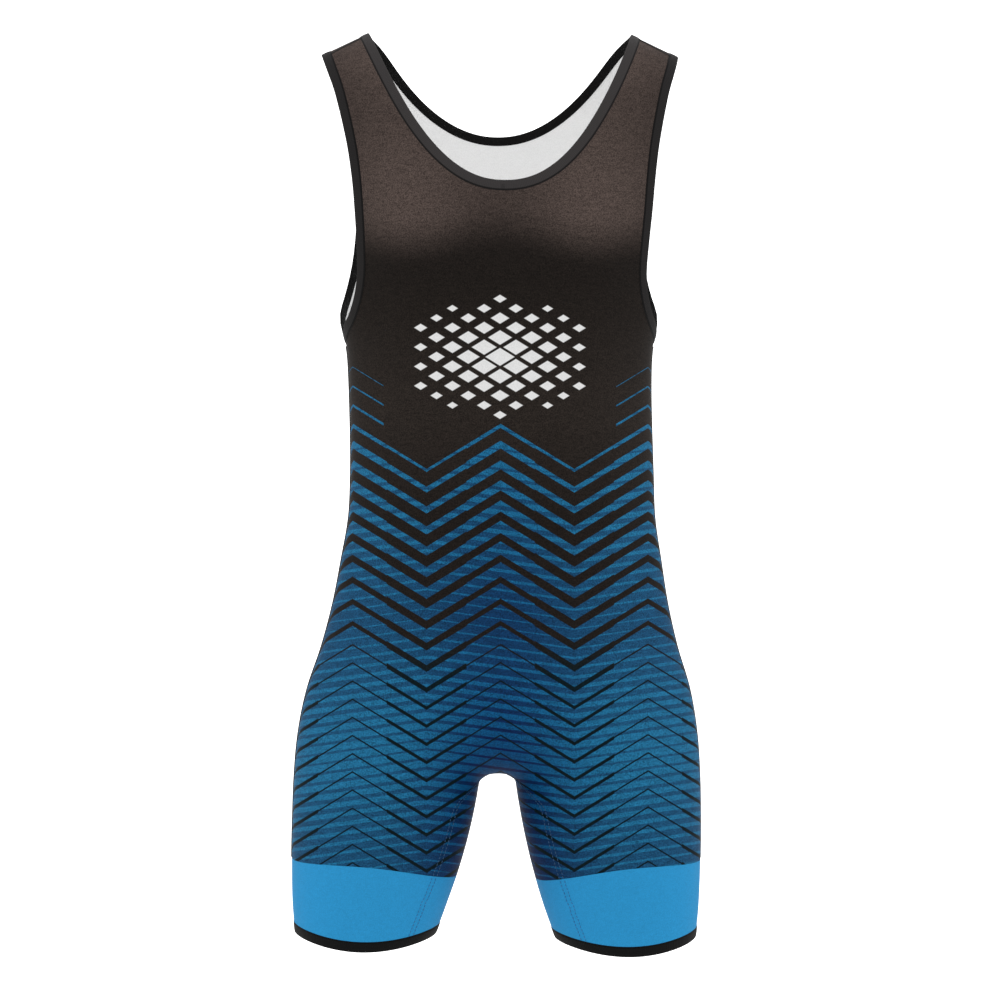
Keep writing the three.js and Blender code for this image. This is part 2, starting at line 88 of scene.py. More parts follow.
SECTIONS = (
    Section(z=40, side=214, front=60, back=60),
    Section(z=0, side=210, front=68, back=68),
    Section(z=-50, side=205, front=78, back=80),
    Section(z=-100, side=194, front=88, back=91),
    Section(z=-150, side=180, front=95, back=97),
    Section(z=-200, side=165.5, front=98, back=98),
    Section(z=-235, side=158, front=96.5, back=95),
    Section(z=-255, side=151.5, front=94, back=92),
    Section(z=-270, side=145.6, front=92, back=90),
    Section(z=-285, side=142.4, front=90, back=87.5),
    Section(z=-310, side=141, front=87.5, back=84),
    Section(z=-350, side=140.6, front=84.5, back=79),
    Section(z=-400, side=141.2, front=82.5, back=76),
    Section(z=-440, side=142.9, front=83, back=78),
    Section(z=-480, side=149.2, front=85, back=86),
    Section(z=-520, side=156.2, front=87.5, back=96, roll=0.99),
    Section(z=-560, side=166, front=89.5, back=105, roll=0.94),
    Section(z=-600, side=178.6, front=91, back=110, roll=0.83),
    Section(z=-640, side=186, front=91, back=109, roll=0.68),
    Section(z=-680, side=189.2, front=89, back=103, roll=0.54, inner=87),
    Section(z=-720, side=190.3, front=85, back=95, roll=0.452, inner=84),
    Section(z=-760, side=190.5, front=79, back=86, roll=0.415, inner=79),
    Section(z=-800, side=189.4, front=72, back=77, roll=0.378, inner=71.5),
    Section(z=-830, side=186.5, front=67, back=71, roll=0.357, inner=66.5),
    Section(z=-860, side=183, front=63, back=67, roll=0.345, inner=63),
)

# Stance: height, and how far the middle of the garment stands to the left there.
STANCE = (
    (-860, -4.2),
    (-800, -3.9),
    (-720, -2.8),
    (-640, -1.9),
    (-560, -0.4),
    (-480, 1.2),
    (-400, 2.0),
    (-310, 0.2),
    (-235, -0.2),
    (-150, 1.4),
    (-60, 0.4),
    (40, -0.4),
)

# Opening edge of the left armhole in the front view, x and z: up the front, and up the back.
ARMHOLE_FRONT = (
    (144.2, -261),
    (139.6, -252.5),
    (134.6, -237),
    (132.2, -218),
    (133.2, -192),
    (135.3, -165),
    (138.4, -130),
    (143.2, -96),
    (149.3, -67),
    (156.3, -41),
)
ARMHOLE_BACK = (
    (149.6, -251),
    (145.4, -228),
    (139.6, -196),
    (137, -150),
    (140.5, -100),
    (149, -55),
)


def smooth_curve(heights: Sequence[float], values: Sequence[float]) -> Callable[[Array], Array]:
    """Cubic through a table of values by height.

    Args:
        heights: heights of the rows, in either order.
        values: the value of each row.

    Returns:
        A function from heights to values, level past both ends of the table.
    """
    order = np.argsort(heights)
    z = np.asarray(heights, float)[order]
    v = np.asarray(values, float)[order]
    before = np.maximum(np.arange(len(z)) - 1, 0)
    after = np.minimum(np.arange(len(z)) + 1, len(z) - 1)
    slope = (v[after] - v[before]) / (z[after] - z[before])

    def value(at: Array) -> Array:
        """Value of the curve at some heights.

        Args:
            at: the heights.

        Returns:
            The value at each.
        """
        at = np.asarray(at, float)
        i = np.clip(np.searchsorted(z, at) - 1, 0, len(z) - 2)
        span = z[i + 1] - z[i]
        t = np.clip((at - z[i]) / span, 0, 1)
        t2, t3 = t * t, t * t * t
        start = (2 * t3 - 3 * t2 + 1) * v[i] + (t3 - 2 * t2 + t) * span * slope[i]
        return start + (3 * t2 - 2 * t3) * v[i + 1] + (t3 - t2) * span * slope[i + 1]

    return value


def lerp(a: float, b: float, t: float) -> float:
    """Value a share t of the way from a to b."""
    return a + (b - a) * t


@dataclass(frozen=True)
class LegEdge:
    """A line round a leg: its heights at the inner and outer outline, and its bow on both faces."""

    inner_z: float
    outer_z: float
    front_bow: float = 0.0
    back_bow: float = 0.0

    def moved_up(self, by: float) -> "LegEdge":
        """The same line, higher by a distance."""
        return replace(self, inner_z=self.inner_z + by, outer_z=self.outer_z + by)

    def toward(self, other: "LegEdge", t: float) -> "LegEdge":
        """The line a share t of the way to another."""
        return LegEdge(
            lerp(self.inner_z, other.inner_z, t),
            lerp(self.outer_z, other.outer_z, t),
            lerp(self.front_bow, other.front_bow, t),
            lerp(self.back_bow, other.back_bow, t),
        )


BAND_TOP = LegEdge(inner_z=-774.2, outer_z=-757, front_bow=8.8, back_bow=0)
HEM = LegEdge(inner_z=-829, outer_z=-827, front_bow=-9, back_bow=3)


class Run:
    """A line of points on the cloth with its running length."""

    def __init__(self, points: Array) -> None:
        """Measures the line through the points.

        Args:
            points: points in order along the line.
        """
        self.points = points
        steps = np.linalg.norm(np.diff(points, axis=0), axis=1)
        self.lengths = np.concatenate([[0.0], np.cumsum(steps)])
        self.total = float(self.lengths[-1])

    def index(self, distance: Array) -> Array:
        """Fractional indexes of the points at distances along the line."""
        return np.interp(distance, self.lengths, np.arange(len(self.lengths)))

    def where(self, measure: Array, after: float = 0.0) -> float:
        """Distance at which a measure of the points first rises past zero.

        Args:
            measure: one value for each point of the line.
            after: distance along the line before which nothing counts.

        Returns:
            The distance along the line.
        """
        i = int(np.argmax((self.lengths > after) & (measure > 0)))
        share = np.clip(measure[i - 1] / (measure[i - 1] - measure[i]), 0, 1)
        return float(lerp(self.lengths[i - 1], self.lengths[i], share))

    def spread(self, start: float, end: float, steps: int) -> Array:
        """Fractional indexes of points at even steps between two distances."""
        return self.index(np.linspace(start, end, steps + 1))


def points_at(points: Array, index: Array) -> Array:
    """Points of a line at fractional indexes.

    Args:
        points: points of the line.
        index: the fractional indexes.

    Returns:
        A point for each index.
    """
    low = np.clip(np.floor(index).astype(int), 0, len(points) - 2)
    share = (np.asarray(index) - low)[..., None]
    return points[low] * (1 - share) + points[low + 1] * share


@dataclass
class BodyForm:
    """The worn form: a front and a back of cloth over one outline, with an arch between the legs."""

    rounding: float = 2.3
    shoulder_x: float = 122.4
    shoulder_z: float = 11.0
    shoulder_slope: float = 0.47
    shoulder_round: float = 95.0
    crotch_z: float = -678.5
    arch_half: float = 15.8
    arch_corner: float = 9.0
    arch_spread: float = 0.13
    arch_flare: float = 0.0009
    arch_power: float = 0.4
    arch_length: float = 190.0
    arch_steps: int = 60
    leg_drop: float = 2.8
    drop_within: float = 120.0
    print_turn: float = 0.033
    print_reach: float = 26.0
    view_distance: float = 2400.0
    view_middle: float = -423.5
    newton_steps: int = 6
    offset_steps: int = 4
    fine: int = 360

    def __post_init__(self) -> None:
        """Makes the curves of the section table."""
        heights = [row.z for row in SECTIONS]
        self.half_width = smooth_curve(heights, [row.side for row in SECTIONS])
        self.front_depth = smooth_curve(heights, [row.front for row in SECTIONS])
        self.back_depth = smooth_curve(heights, [row.back for row in SECTIONS])
        self.side_roll = smooth_curve(heights, [row.roll for row in SECTIONS])
        self.inner_round = smooth_curve(heights, [row.inner for row in SECTIONS])
        self.shift = smooth_curve([row[0] for row in STANCE], [row[1] for row in STANCE])
        down = (np.arange(self.arch_steps + 1) / self.arch_steps) ** 3
        z = self.crotch_z - self.arch_length * down
        self.arch = np.stack([self.half_gap(z), z], axis=1)

    def half_gap(self, z: Array) -> Array:
        """Half the gap between the legs at heights.

        Args:
            z: heights.

        Returns:
            The half gap at each height.
        """
        down = np.maximum(self.crotch_z - np.asarray(z, float), 0)
        corner = 1 - (1 - np.minimum(down / self.arch_corner, 1)) ** 2
        widening = self.arch_spread * down + self.arch_flare * down * down
        return self.arch_half * corner**self.arch_power + widening

    def from_arch(self, x: Array, z: Array) -> Array:
        """Distance in the front view from the arch between the legs, negative inside it.

        Args:
            x: places across the front view.
            z: heights.

        Returns:
            The distance of each place.
        """
        start, along = self.arch[:-1], np.diff(self.arch, axis=0)
        away = np.stack([np.abs(x), z], axis=-1)[..., None, :] - start
        t = np.clip((away * along).sum(-1) / (along * along).sum(-1), 0, 1)
        nearest = np.linalg.norm(away - t[..., None] * along, axis=-1).min(-1)
        inside = (z < self.crotch_z) & (np.abs(x) < self.half_gap(z))
        return np.where(inside, -nearest, nearest)

    def top_line(self, x: Array) -> Array:
        """Height of the straps' top line."""
        return self.shoulder_z - self.shoulder_slope * (np.abs(x) - self.shoulder_x)

    def fullness(self, distance: Array, span: Array) -> Array:
        """How full the form is at a distance from its outline: 0 on it, 1 past the rounding."""
        return 1 - np.maximum(1 - distance / span, 0) ** self.rounding

    def share(self, x: Array, z: Array) -> Array:
        """Share of the depth squared at places of the front view.

        Args:
            x: places across the front view.
            z: heights.

        Returns:
            The share at each place, 1 where the form is at its full depth.
        """
        side = self.half_width(z)
        full = self.fullness(side - np.abs(x), side * self.side_roll(z))
        full = full * self.fullness(self.top_line(x) - z, self.shoulder_round)
        span = self.inner_round(z)
        low = z < self.crotch_z + span
        if np.any(low):
            near = np.where(low, self.fullness(self.from_arch(x, z), span), 1.0)
            full = full * near
        return full

    def depth(self, z: Array, is_front: Array) -> Array:
        """Depth of the form to the front or to the back."""
        return np.where(is_front, self.front_depth(z), self.back_depth(z))

    def surface(self, x: Array, z: Array, face: Array) -> Array:
        """Points of the cloth's outer face at places of the front view; face is -1 or 1.

        Args:
            x: places across the front view.
            z: heights.
            face: -1 for the front and 1 for the back.

        Returns:
            The points.
        """
        x, z, face = np.broadcast_arrays(np.asarray(x, float), np.asarray(z, float), np.asarray(face))
        y = face * self.depth(z, face < 0) * np.sqrt(np.maximum(self.share(x, z), 0))
        return np.stack([x, y, z], axis=-1)

    def level(self, x: Array, y: Array, z: Array) -> Array:
        """Level function of the form, 0 on the cloth."""
        return (y / self.depth(z, y < 0)) ** 2 - self.share(x, z)

    def gradient(self, p: Array) -> Array:
        """Gradient of the level function at points.

        Args:
            p: points of the symmetric form.

        Returns:
            The gradient at each point.
        """
        x, y, z = p[..., 0], p[..., 1], p[..., 2]
        step = 0.02
        along_x = (self.level(x + step, y, z) - self.level(x - step, y, z)) / (2 * step)
        along_z = (self.level(x, y, z + step) - self.level(x, y, z - step)) / (2 * step)
        return np.stack([along_x, 2 * y / self.depth(z, y < 0) ** 2, along_z], axis=-1)

    def outward(self, p: Array) -> Array:
        """Unit normals of the cloth at points."""
        slope = self.gradient(p)
        return slope / np.linalg.norm(slope, axis=-1, keepdims=True)

    def settle(self, p: Array) -> Array:
        """Nearest points of the cloth, by a few Newton steps."""
        for _ in range(self.newton_steps):
            slope = self.gradient(p)
            off = self.level(p[..., 0], p[..., 1], p[..., 2])
            p = p - slope * (off / (slope * slope).sum(-1))[..., None]
        return p

    def offset(self, line: Array, distance: float, away: int, is_loop: bool) -> Array:
        """A line moved sideways on the cloth.

        Args:
            line: points of the line; a loop repeats its first point.
            distance: how far it moves.
            away: 1 or -1, the side it moves to.
            is_loop: whether the line closes on itself; any other goes on across the middle plane.

        Returns:
            The moved points.
        """
        before = np.roll(line, 1, axis=0)
        after = np.roll(line, -1, axis=0)
        before[0] = line[-2] if is_loop else mirrored(line[1])
        after[-1] = line[1] if is_loop else mirrored(line[-2])
        along = after - before
        along /= np.linalg.norm(along, axis=1, keepdims=True)
        moved = line
        for _ in range(self.offset_steps):
            across = np.cross(along, self.outward(moved)) * away
            across /= np.linalg.norm(across, axis=1, keepdims=True)
            moved = self.settle(moved + across * distance / self.offset_steps)
        return moved

    def stand(self, p: Array) -> Array:
        """Points moved to the garment's stance: a slight lean, and the left hem lower.

        Args:
            p: points of the symmetric form.

        Returns:
            The points in the garment's stance.
        """
        leg = np.clip((self.crotch_z - p[..., 2]) / self.drop_within, 0, 1)
        x = p[..., 0] + self.shift(p[..., 2])
        z = p[..., 2] - np.sign(p[..., 0]) * self.leg_drop * leg * leg
        return np.stack([x, p[..., 1], z], axis=-1)

    def print_place(self, p: Array) -> Array:
        """Places on the print, across and down in millimetres, of points of the symmetric form.

        The print lies square to the front. Round the sides it is let out, so that it isn't drawn into lines.

        Args:
            p: points of the symmetric form.

        Returns:
            The place on the print of each point.
        """
        reach, middle = self.print_reach, self.view_middle
        stood = self.stand(p)
        near = 1 + np.abs(p[..., 1]) / self.view_distance
        outline = self.gradient(p)[..., [0, 2]]
        outline /= np.maximum(np.linalg.norm(outline, axis=-1, keepdims=True), 1e-9)
        spare = np.maximum(reach - np.abs(p[..., 1]), 0) ** 2 / (2 * reach)
        across = (stood[..., 0] - stood[..., 1] * self.print_turn) * near + outline[..., 0] * spare
        down = -(middle + (stood[..., 2] - middle) * near + outline[..., 1] * spare)
        return np.stack([across, down], axis=-1)


def centripetal_loop(places: Array, count: int) -> Array:
    """Closed centripetal Catmull-Rom curve.

    Args:
        places: points that the curve passes through.
        count: number of equal steps of the curve's parameter.

    Returns:
        The curve's points, the first one repeated at the end.
    """
    n = len(places)
    at = np.arange(count + 1) / count * n
    i = np.floor(at).astype(int)
    t = (at - i)[:, None]
    p0, p1, p2, p3 = (places[(i + k) % n] for k in (-1, 0, 1, 2))
    d0, d1, d2 = (np.linalg.norm(b - a, axis=1)[:, None] ** 0.5 for a, b in ((p0, p1), (p1, p2), (p2, p3)))
    m1 = ((p1 - p0) / d0 - (p2 - p0) / (d0 + d1) + (p2 - p1) / d1) * d1
    m2 = ((p2 - p1) / d1 - (p3 - p1) / (d1 + d2) + (p3 - p2) / d2) * d1
    return p1 + m1 * t + (-3 * p1 + 3 * p2 - 2 * m1 - m2) * t**2 + (2 * p1 - 2 * p2 + m1 + m2) * t**3


@dataclass
class BoundOpening:
    """A bound edge's lines: the opening's edge, the binding's groove, and where the panel stops."""

    edge: Array
    groove: Array
    panel: Array

    def __post_init__(self) -> None:
        """Measures the panel's line."""
        self.run = Run(self.panel)


@dataclass(frozen=True)
class NeckHalf:
    """The front or back of the neck edge.

    z is its lowest height, half the half width that it rises to, power how round it is, and sweep how soon
    it comes in from the strap's crest to that width.
    """

    z: float
    half: float
    power: float
    sweep: float
    face: Face


@dataclass
class Pattern:
    """The cutting lines of the left half: neck, armhole, seams, leg bands and hem."""

    form: BodyForm
    binding_width: float = 8.6
    hem_width: float = 8.8
    seam_gap: float = 0.1
    tuck: float = 1.2
    neck_half: float = 122.4
    neck_front: NeckHalf = NeckHalf(z=-136, half=122.4, power=0.45, sweep=1, face=Face.FRONT)
    neck_back: NeckHalf = NeckHalf(z=-72.6, half=114.5, power=0.48, sweep=12, face=Face.BACK)
    underarm_z: float = -268.5
    armhole_top_x: float = 166.3
    seam_forward: float = 17.0
    inseam_forward: float = 64.0
    inseam_within: float = 30.0
    strap_above_z: float = -70.0
    off_strap: float = -99.0
    underarm_below_z: float = -200.0
    arm_run_in: float = 60.0
    chest_run_in: float = 20.0
    crotch_row_z: float = -668.0
    chest_row_z: dict[Face, float] = field(default_factory=lambda: {Face.FRONT: -222, Face.BACK: -200})
    neck_row_z: dict[Face, float] = field(default_factory=lambda: {Face.FRONT: -192, Face.BACK: -128})
    columns: int = 40
    band_rows: int = 14
    leg_rows: int = 26
    body_rows: int = 84
    chest_rows: int = 14
    strap_rows: int = 64
    crest_rows: int = 8

    def __post_init__(self) -> None:
        """Draws the openings and sets the stations where the panels' rows end."""
        self.gap = self.seam_gap / 2
        self.neck = self.bound(self.neck_edge(), 1, False)
        self.armhole = self.start_underarm(self.bound(self.armhole_edge(), -1, True))
        neck, arm = self.neck, self.armhole
        neck_y, arm_y = (
            np.where(bound.panel[:, 2] > self.strap_above_z, bound.panel[:, 1], self.off_strap)
            for bound in (neck, arm)
        )
        neck_seam = neck.run.where(neck_y + self.seam_forward)
        neck_crest = neck.run.where(neck_y)
        arm_seam = arm.run.where(arm_y + self.seam_forward, self.arm_run_in)
        arm_crest = arm.run.where(arm_y, self.arm_run_in)
        over_front = arm.panel[:, 2] - self.neck_row_z[Face.FRONT]
        front_top = arm.run.where(over_front, self.chest_run_in)
        back_top = arm.run.where(self.neck_row_z[Face.BACK] - arm.panel[:, 2], arm_crest)
        gap, strap, crest, chest = self.gap, self.strap_rows, self.crest_rows, self.chest_rows
        self.neck_front_at = neck.run.spread(0, neck_seam - gap, strap)
        self.neck_crest_at = neck.run.spread(neck_seam + gap, neck_crest, crest)
        self.neck_back_at = neck.run.spread(neck_crest, neck.run.total, strap)
        self.arm_front_chest_at = arm.run.spread(gap, front_top, chest)
        self.arm_front_at = arm.run.spread(front_top, arm_seam - gap, strap)
        self.arm_crest_at = arm.run.spread(arm_seam + gap, arm_crest, crest)
        self.arm_back_at = arm.run.spread(arm_crest, back_top, strap)
        self.arm_back_chest_at = arm.run.spread(back_top, arm.run.total - gap, chest)

    def neck_edge(self) -> Array:
        """Neck edge of the left half, from the centre front over the shoulder to the centre back.

        Returns:
            The points of the edge.
        """
        t = np.linspace(0, 1, self.form.fine + 1)
        height = 1 - (1 - t * t) ** 2
        halves = []
        for half in (self.neck_front, self.neck_back):
            x = lerp(half.half, self.neck_half, height**half.sweep) * height**half.power
            z = np.minimum(lerp(half.z, self.form.shoulder_z, height), self.form.top_line(x))
            halves.append(self.form.settle(self.form.surface(x, z, half.face.value)))
        return np.concatenate([halves[0], halves[1][::-1][1:]])

    def armhole_edge(self) -> Array:
        """Armhole edge of the left half, from the underarm up the front, over and down the back.

        Returns:
            The points of the edge, the first one repeated at the end.
        """
        form = self.form
        underarm = [[float(form.half_width(self.underarm_z)), 0, self.underarm_z]]
        crest = [[self.armhole_top_x, 0, float(form.top_line(self.armhole_top_x))]]
        front = np.array(ARMHOLE_FRONT, float)
        back = np.array(ARMHOLE_BACK, float)[::-1]
        up = form.surface(front[:, 0], front[:, 1], Face.FRONT.value)
        down = form.surface(back[:, 0], back[:, 1], Face.BACK.value)
        places = np.concatenate([underarm, up, crest, down])
        return form.settle(centripetal_loop(places, 2 * form.fine))

    def bound(self, edge: Array, away: int, is_loop: bool) -> BoundOpening:
        """The lines of a bound opening round its edge.

        Args:
            edge: points of the opening's edge.
            away: 1 or -1, the side that the cloth lies on.
            is_loop: whether the edge closes on itself.

        Returns:
            The opening with its three lines.
        """
        groove = self.form.offset(edge, self.binding_width, away, is_loop)
        panel = self.form.offset(edge, self.binding_width - self.tuck, away, is_loop)
        return BoundOpening(edge, groove, panel)

    def start_underarm(self, opening: BoundOpening) -> BoundOpening:
        """A looped opening whose lines start where the panel's line passes forward under the arm.

        Args:
            opening: the opening, started anywhere.

        Returns:
            The same opening, started under the arm.
        """
        y, z = opening.panel[:, 1], opening.panel[:, 2]
        passes = (z[1:] < self.underarm_below_z) & (y[1:] <= 0) & (y[:-1] > 0)
        start = int(np.argmax(passes)) + 1 if passes.any() else 0
        lines = (opening.edge, opening.groove, opening.panel)
        return BoundOpening(*(np.concatenate([line[start:-1], line[: start + 1]]) for line in lines))

    def straight_row(self, a: Array, b: Array, face: Face, end_gap: float) -> Array:
        """A row of a panel: points at even steps along a line that is straight in the front view.

        Args:
            a: the inner end.
            b: the outer end.
            face: the face that the row lies on.
            end_gap: how far the row stops before its outer end.

        Returns:
            The row's points.
        """
        eased = (1 - np.cos(np.pi * np.linspace(0, 1, self.form.fine + 1))) / 2
        line = Run(self.form.surface(lerp(a[0], b[0], eased), lerp(a[2], b[2], eased), face.value))
        row = points_at(line.points, line.spread(0, line.total - end_gap, self.columns))
        row[0] = a
        return row

    def leg_place(self, edge: LegEdge, angle: Array) -> Array:
        """Places round a leg: -pi at the side seam, through the front, 0 at the inner leg, to pi behind.

        Args:
            edge: the line round the leg.
            angle: the angles round the leg.

        Returns:
            A point for each angle.
        """
        angle = np.asarray(angle, float)
        across = (1 - np.cos(angle)) / 2
        bow = np.where(angle < 0, edge.front_bow, edge.back_bow)
        z = lerp(edge.inner_z, edge.outer_z, across) + bow * np.sin(np.pi * across)
        inner = float(self.form.half_gap(edge.inner_z))
        x = lerp(inner, float(self.form.half_width(edge.outer_z)), across)
        return self.form.surface(x, z, np.where(angle < 0, -1, 1))

    def leg_run(self, edge: LegEdge) -> Run:
        """The line round a leg at fine steps, from the side seam through the front and back to it."""
        return Run(self.leg_place(edge, np.pi * (2 * np.linspace(0, 1, self.form.fine + 1) - 1)))

    def inseam_distance(self, edge: LegEdge, run: Run) -> float:
        """Distance of the inseam along a line round the leg that starts at the side seam in front."""
        down = min(max((self.form.crotch_z - edge.inner_z) / self.inseam_within, 0), 1)
        return float(run.lengths[self.form.fine // 2]) - self.inseam_forward * (1 - (1 - down) ** 2)

    def leg_angles(self, edge: LegEdge, face: Face, gap: float) -> Array:
        """Angles of the stations of one face round a leg, from the inseam to the side seam.

        Args:
            edge: the line round the leg.
            face: the side of the garment.
            gap: how far the stations stop before the inseam and the side seam.

        Returns:
            The angles, from the inseam on.
        """
        fine = self.form.fine
        run = self.leg_run(edge)
        inseam = self.inseam_distance(edge, run)
        if face is Face.FRONT:
            index = run.spread(inseam - gap, gap, self.columns)
        else:
            index = run.spread(inseam + gap, run.total - gap, self.columns)
        return np.pi * (2 * index / fine - 1)

    def leg_edge(self, t: float) -> LegEdge:
        """The line round the leg a share t of the way from the band's top to the crotch row.

        Args:
            t: the share of the way up.

        Returns:
            The line.
        """
        bottom = BAND_TOP.moved_up(self.gap)
        edge = bottom.toward(LegEdge(self.form.crotch_z, self.crotch_row_z), t)
        return replace(edge, inner_z=lerp(self.form.crotch_z, bottom.inner_z, (1 - t) ** 2))

    def panel_rows(self, face: Face) -> Array:
        """Rows of a panel's left half, from the leg band to the shoulder seam, inner end first.

        Args:
            face: the side of the garment.

        Returns:
            The grid of points, a row at a time.
        """
        form, sign = self.form, face.value
        is_front = face is Face.FRONT
        rows = []
        for k in range(self.leg_rows):
            edge = self.leg_edge(k / self.leg_rows)
            rows.append(self.leg_place(edge, self.leg_angles(edge, face, self.gap)))
        arm = self.arm_front_chest_at if is_front else self.arm_back_chest_at[::-1]
        arm_points = points_at(self.armhole.panel, arm)
        t = np.linspace(0, 1, form.fine + 1)
        centre = Run(form.surface(0 * t, lerp(form.crotch_z, self.chest_row_z[face], t * t), sign))
        inner = points_at(centre.points, centre.spread(self.gap, centre.total, self.body_rows))
        inner[0] = (0, sign * self.gap, form.crotch_z)
        for k in range(self.body_rows):
            z = lerp(self.crotch_row_z, arm_points[0][2], k / self.body_rows)
            outer = np.array([float(form.half_width(z)), 0, z])
            rows.append(self.straight_row(inner[k], outer, face, self.gap))
        neck_bottom = self.neck.panel[0 if is_front else -1]
        for k in range(self.chest_rows):
            z = lerp(self.chest_row_z[face], neck_bottom[2], k / self.chest_rows)
            rows.append(self.straight_row(form.surface(0, z, sign), arm_points[k], face, 0))
        if is_front:
            rows += self.strap_lines(self.neck_front_at, self.arm_front_at, Face.FRONT)
        else:
            rows += self.strap_lines(self.neck_back_at[::-1], self.arm_back_at[::-1], Face.BACK)
            rows += self.strap_lines(self.neck_crest_at[::-1], self.arm_crest_at[::-1], Face.FRONT)[1:]
        return np.array(rows)

    def strap_lines(self, neck: Array, arm: Array, face: Face) -> list[Array]:
        """Rows across the strap, between stations of the neck and of the armhole.

        Args:
            neck: fractional indexes of the stations of the neck.
            arm: those of the armhole.
            face: the side of the garment.

        Returns:
            The rows.
        """
        inner = points_at(self.neck.panel, neck)
        outer = points_at(self.armhole.panel, arm)
        rows = [self.straight_row(a, b, face, 0) for a, b in zip(inner, outer)]
        for row, end in zip(rows, outer):
            row[-1] = end
        return rows

    def band_grid(self, face: Face) -> Array:
        """Rows of half a leg band, from its lower edge up.

        Args:
            face: the side of the garment.

        Returns:
            The grid of points, a row at a time.
        """
        lower = HEM.moved_up(self.hem_width - self.tuck)
        upper = BAND_TOP.moved_up(-self.gap)
        start = self.leg_angles(HEM.moved_up(self.hem_width), face, self.gap)
        end = self.leg_angles(upper, face, self.gap)
        steps = np.linspace(0, 1, self.band_rows + 1)
        return np.array([self.leg_place(lower.toward(upper, t), lerp(start, end, t)) for t in steps])


def mirrored(points: Array) -> Array:
    """Points on the other side of the middle plane."""
    return points * np.array([-1.0, 1.0, 1.0])


def both_sides(lines: Sequence[Array]) -> list[Array]:
    """Some lines of the left half and the same lines of the right."""
    return [*lines, *[mirrored(line) for line in lines]]


def linear(code: str) -> tuple[float, float, float, float]:
    """Linear colour of an sRGB hex code.

    Args:
        code: six hex digits after a hash mark.

    Returns:
        Red, green, blue and full alpha.
    """
    parts = (int(code[i : i + 2], 16) / 255 for i in (1, 3, 5))
    red, green, blue = (c / 12.92 if c <= 0.04045 else ((c + 0.055) / 1.055) ** 2.4 for c in parts)
    return red, green, blue, 1.0


def add(
    tree: Tree,
    kind: str,
    settings: dict[str, object],
    inputs: Inputs,
    output: int | str = 0,
) -> Socket:
    """Adds a node with its settings and inputs.

    Args:
        tree: the node tree that gets the node.
        kind: the node's type, without its ShaderNode prefix.
        settings: values of the node's own properties.
        inputs: a value or another node's output for each of its sockets.
        output: which of its outputs is wanted.

    Returns:
        That output.
    """
    node = tree.nodes.new(f"ShaderNode{kind}")
    for name, value in settings.items():
        setattr(node, name, value)
    for socket, value in inputs.items():
        if isinstance(value, Socket):
            tree.links.new(value, node.inputs[socket])
        else:
            node.inputs[socket].default_value = value
    return node.outputs[output]


def new_material(name: str) -> Material:
    """A material with an empty node tree.

    Args:
        name: its name.

    Returns:
        The material.
    """
    material = bpy.data.materials.new(name)
    material.use_nodes = True
    material.node_tree.nodes.clear()
    return material


def finish_material(material: Material, shader: Inputs, bump: Socket | None, height: float) -> Material:
    """Ends a material with a Principled surface.

    Args:
        material: the material.
        shader: the surface's inputs.
        bump: the height of its relief from 0 to 1, or None.
        height: what 1 stands for, in metres.

    Returns:
        The material.
    """
    tree = material.node_tree
    if bump is not None:
        shader["Normal"] = add(tree, "Bump", {}, {"Strength": 1.0, "Distance": height, "Height": bump})
    surface = add(tree, "BsdfPrincipled", {}, shader)
    end = tree.nodes.new("ShaderNodeOutputMaterial")
    tree.links.new(surface, end.inputs["Surface"])
    return material


@dataclass(frozen=True)
class Ramp:
    """A straight change from one value to another between two places, level past both."""

    start: float
    end: float
    first: float
    last: float

    def at(self, tree: Tree, place: Socket) -> Socket:
        """The ramp's value at a place."""
        span = {"From Min": self.start, "From Max": self.end, "To Min": self.first, "To Max": self.last}
        return add(tree, "MapRange", {}, {"Value": place, **span})


@dataclass(frozen=True)
class Knit:
    """The face of a warp knit of nylon and elastane: smooth, and matt at every angle.

    The real wales and courses are 0.4 mm apart, too fine to show. The loops are drawn at 0.95 mm and the
    courses at 2 mm, which gives the eye the fine salt and pepper and the faint level lines of the knit.
    """

    loop: float = 0.95
    course: float = 2.0
    relief: float = 0.00012
    grain_range: tuple[float, float] = (0.36, 0.64)
    roughness: float = 0.6
    specular: float = 0.06
    contrast: float = 0.5

    def grain_height(self, tree: Tree) -> Socket:
        """Height of the knit's loops and courses, about 0.5 in the middle.

        Args:
            tree: the material's node tree.

        Returns:
            The height, from 0 to 1.
        """
        place = add(tree, "TexCoord", {}, {}, "Object")
        fine = {"Vector": place, "Scale": 1000 / self.loop, "Detail": 1.0, "Roughness": 0.7}
        loops = add(tree, "TexNoise", {}, fine)
        level = add(tree, "VectorMath", {"operation": "MULTIPLY"}, {0: place, 1: (0.3, 0.3, 1.0)})
        courses = add(tree, "TexNoise", {}, {"Vector": level, "Scale": 1000 / self.course, "Detail": 1.0})
        return add(tree, "Mix", {"data_type": "FLOAT"}, {"Factor": 0.2, "A": loops, "B": courses}, "Result")

    def shaded(self, tree: Tree, colour: Socket, grain: Socket, depth: float) -> Socket:
        """A colour, darker in the hollows of the grain and lighter on its ridges by a share of depth."""
        share = Ramp(*self.grain_range, 1 - depth, 1 + depth).at(tree, grain)
        return add(tree, "VectorMath", {"operation": "SCALE"}, {0: colour, "Scale": share})

    def surface(self, colour: Socket) -> Inputs:
        """The shader's inputs for this cloth in a colour."""
        return {
            "Base Color": colour,
            "Roughness": self.roughness,
            "Specular IOR Level": self.specular,
        }


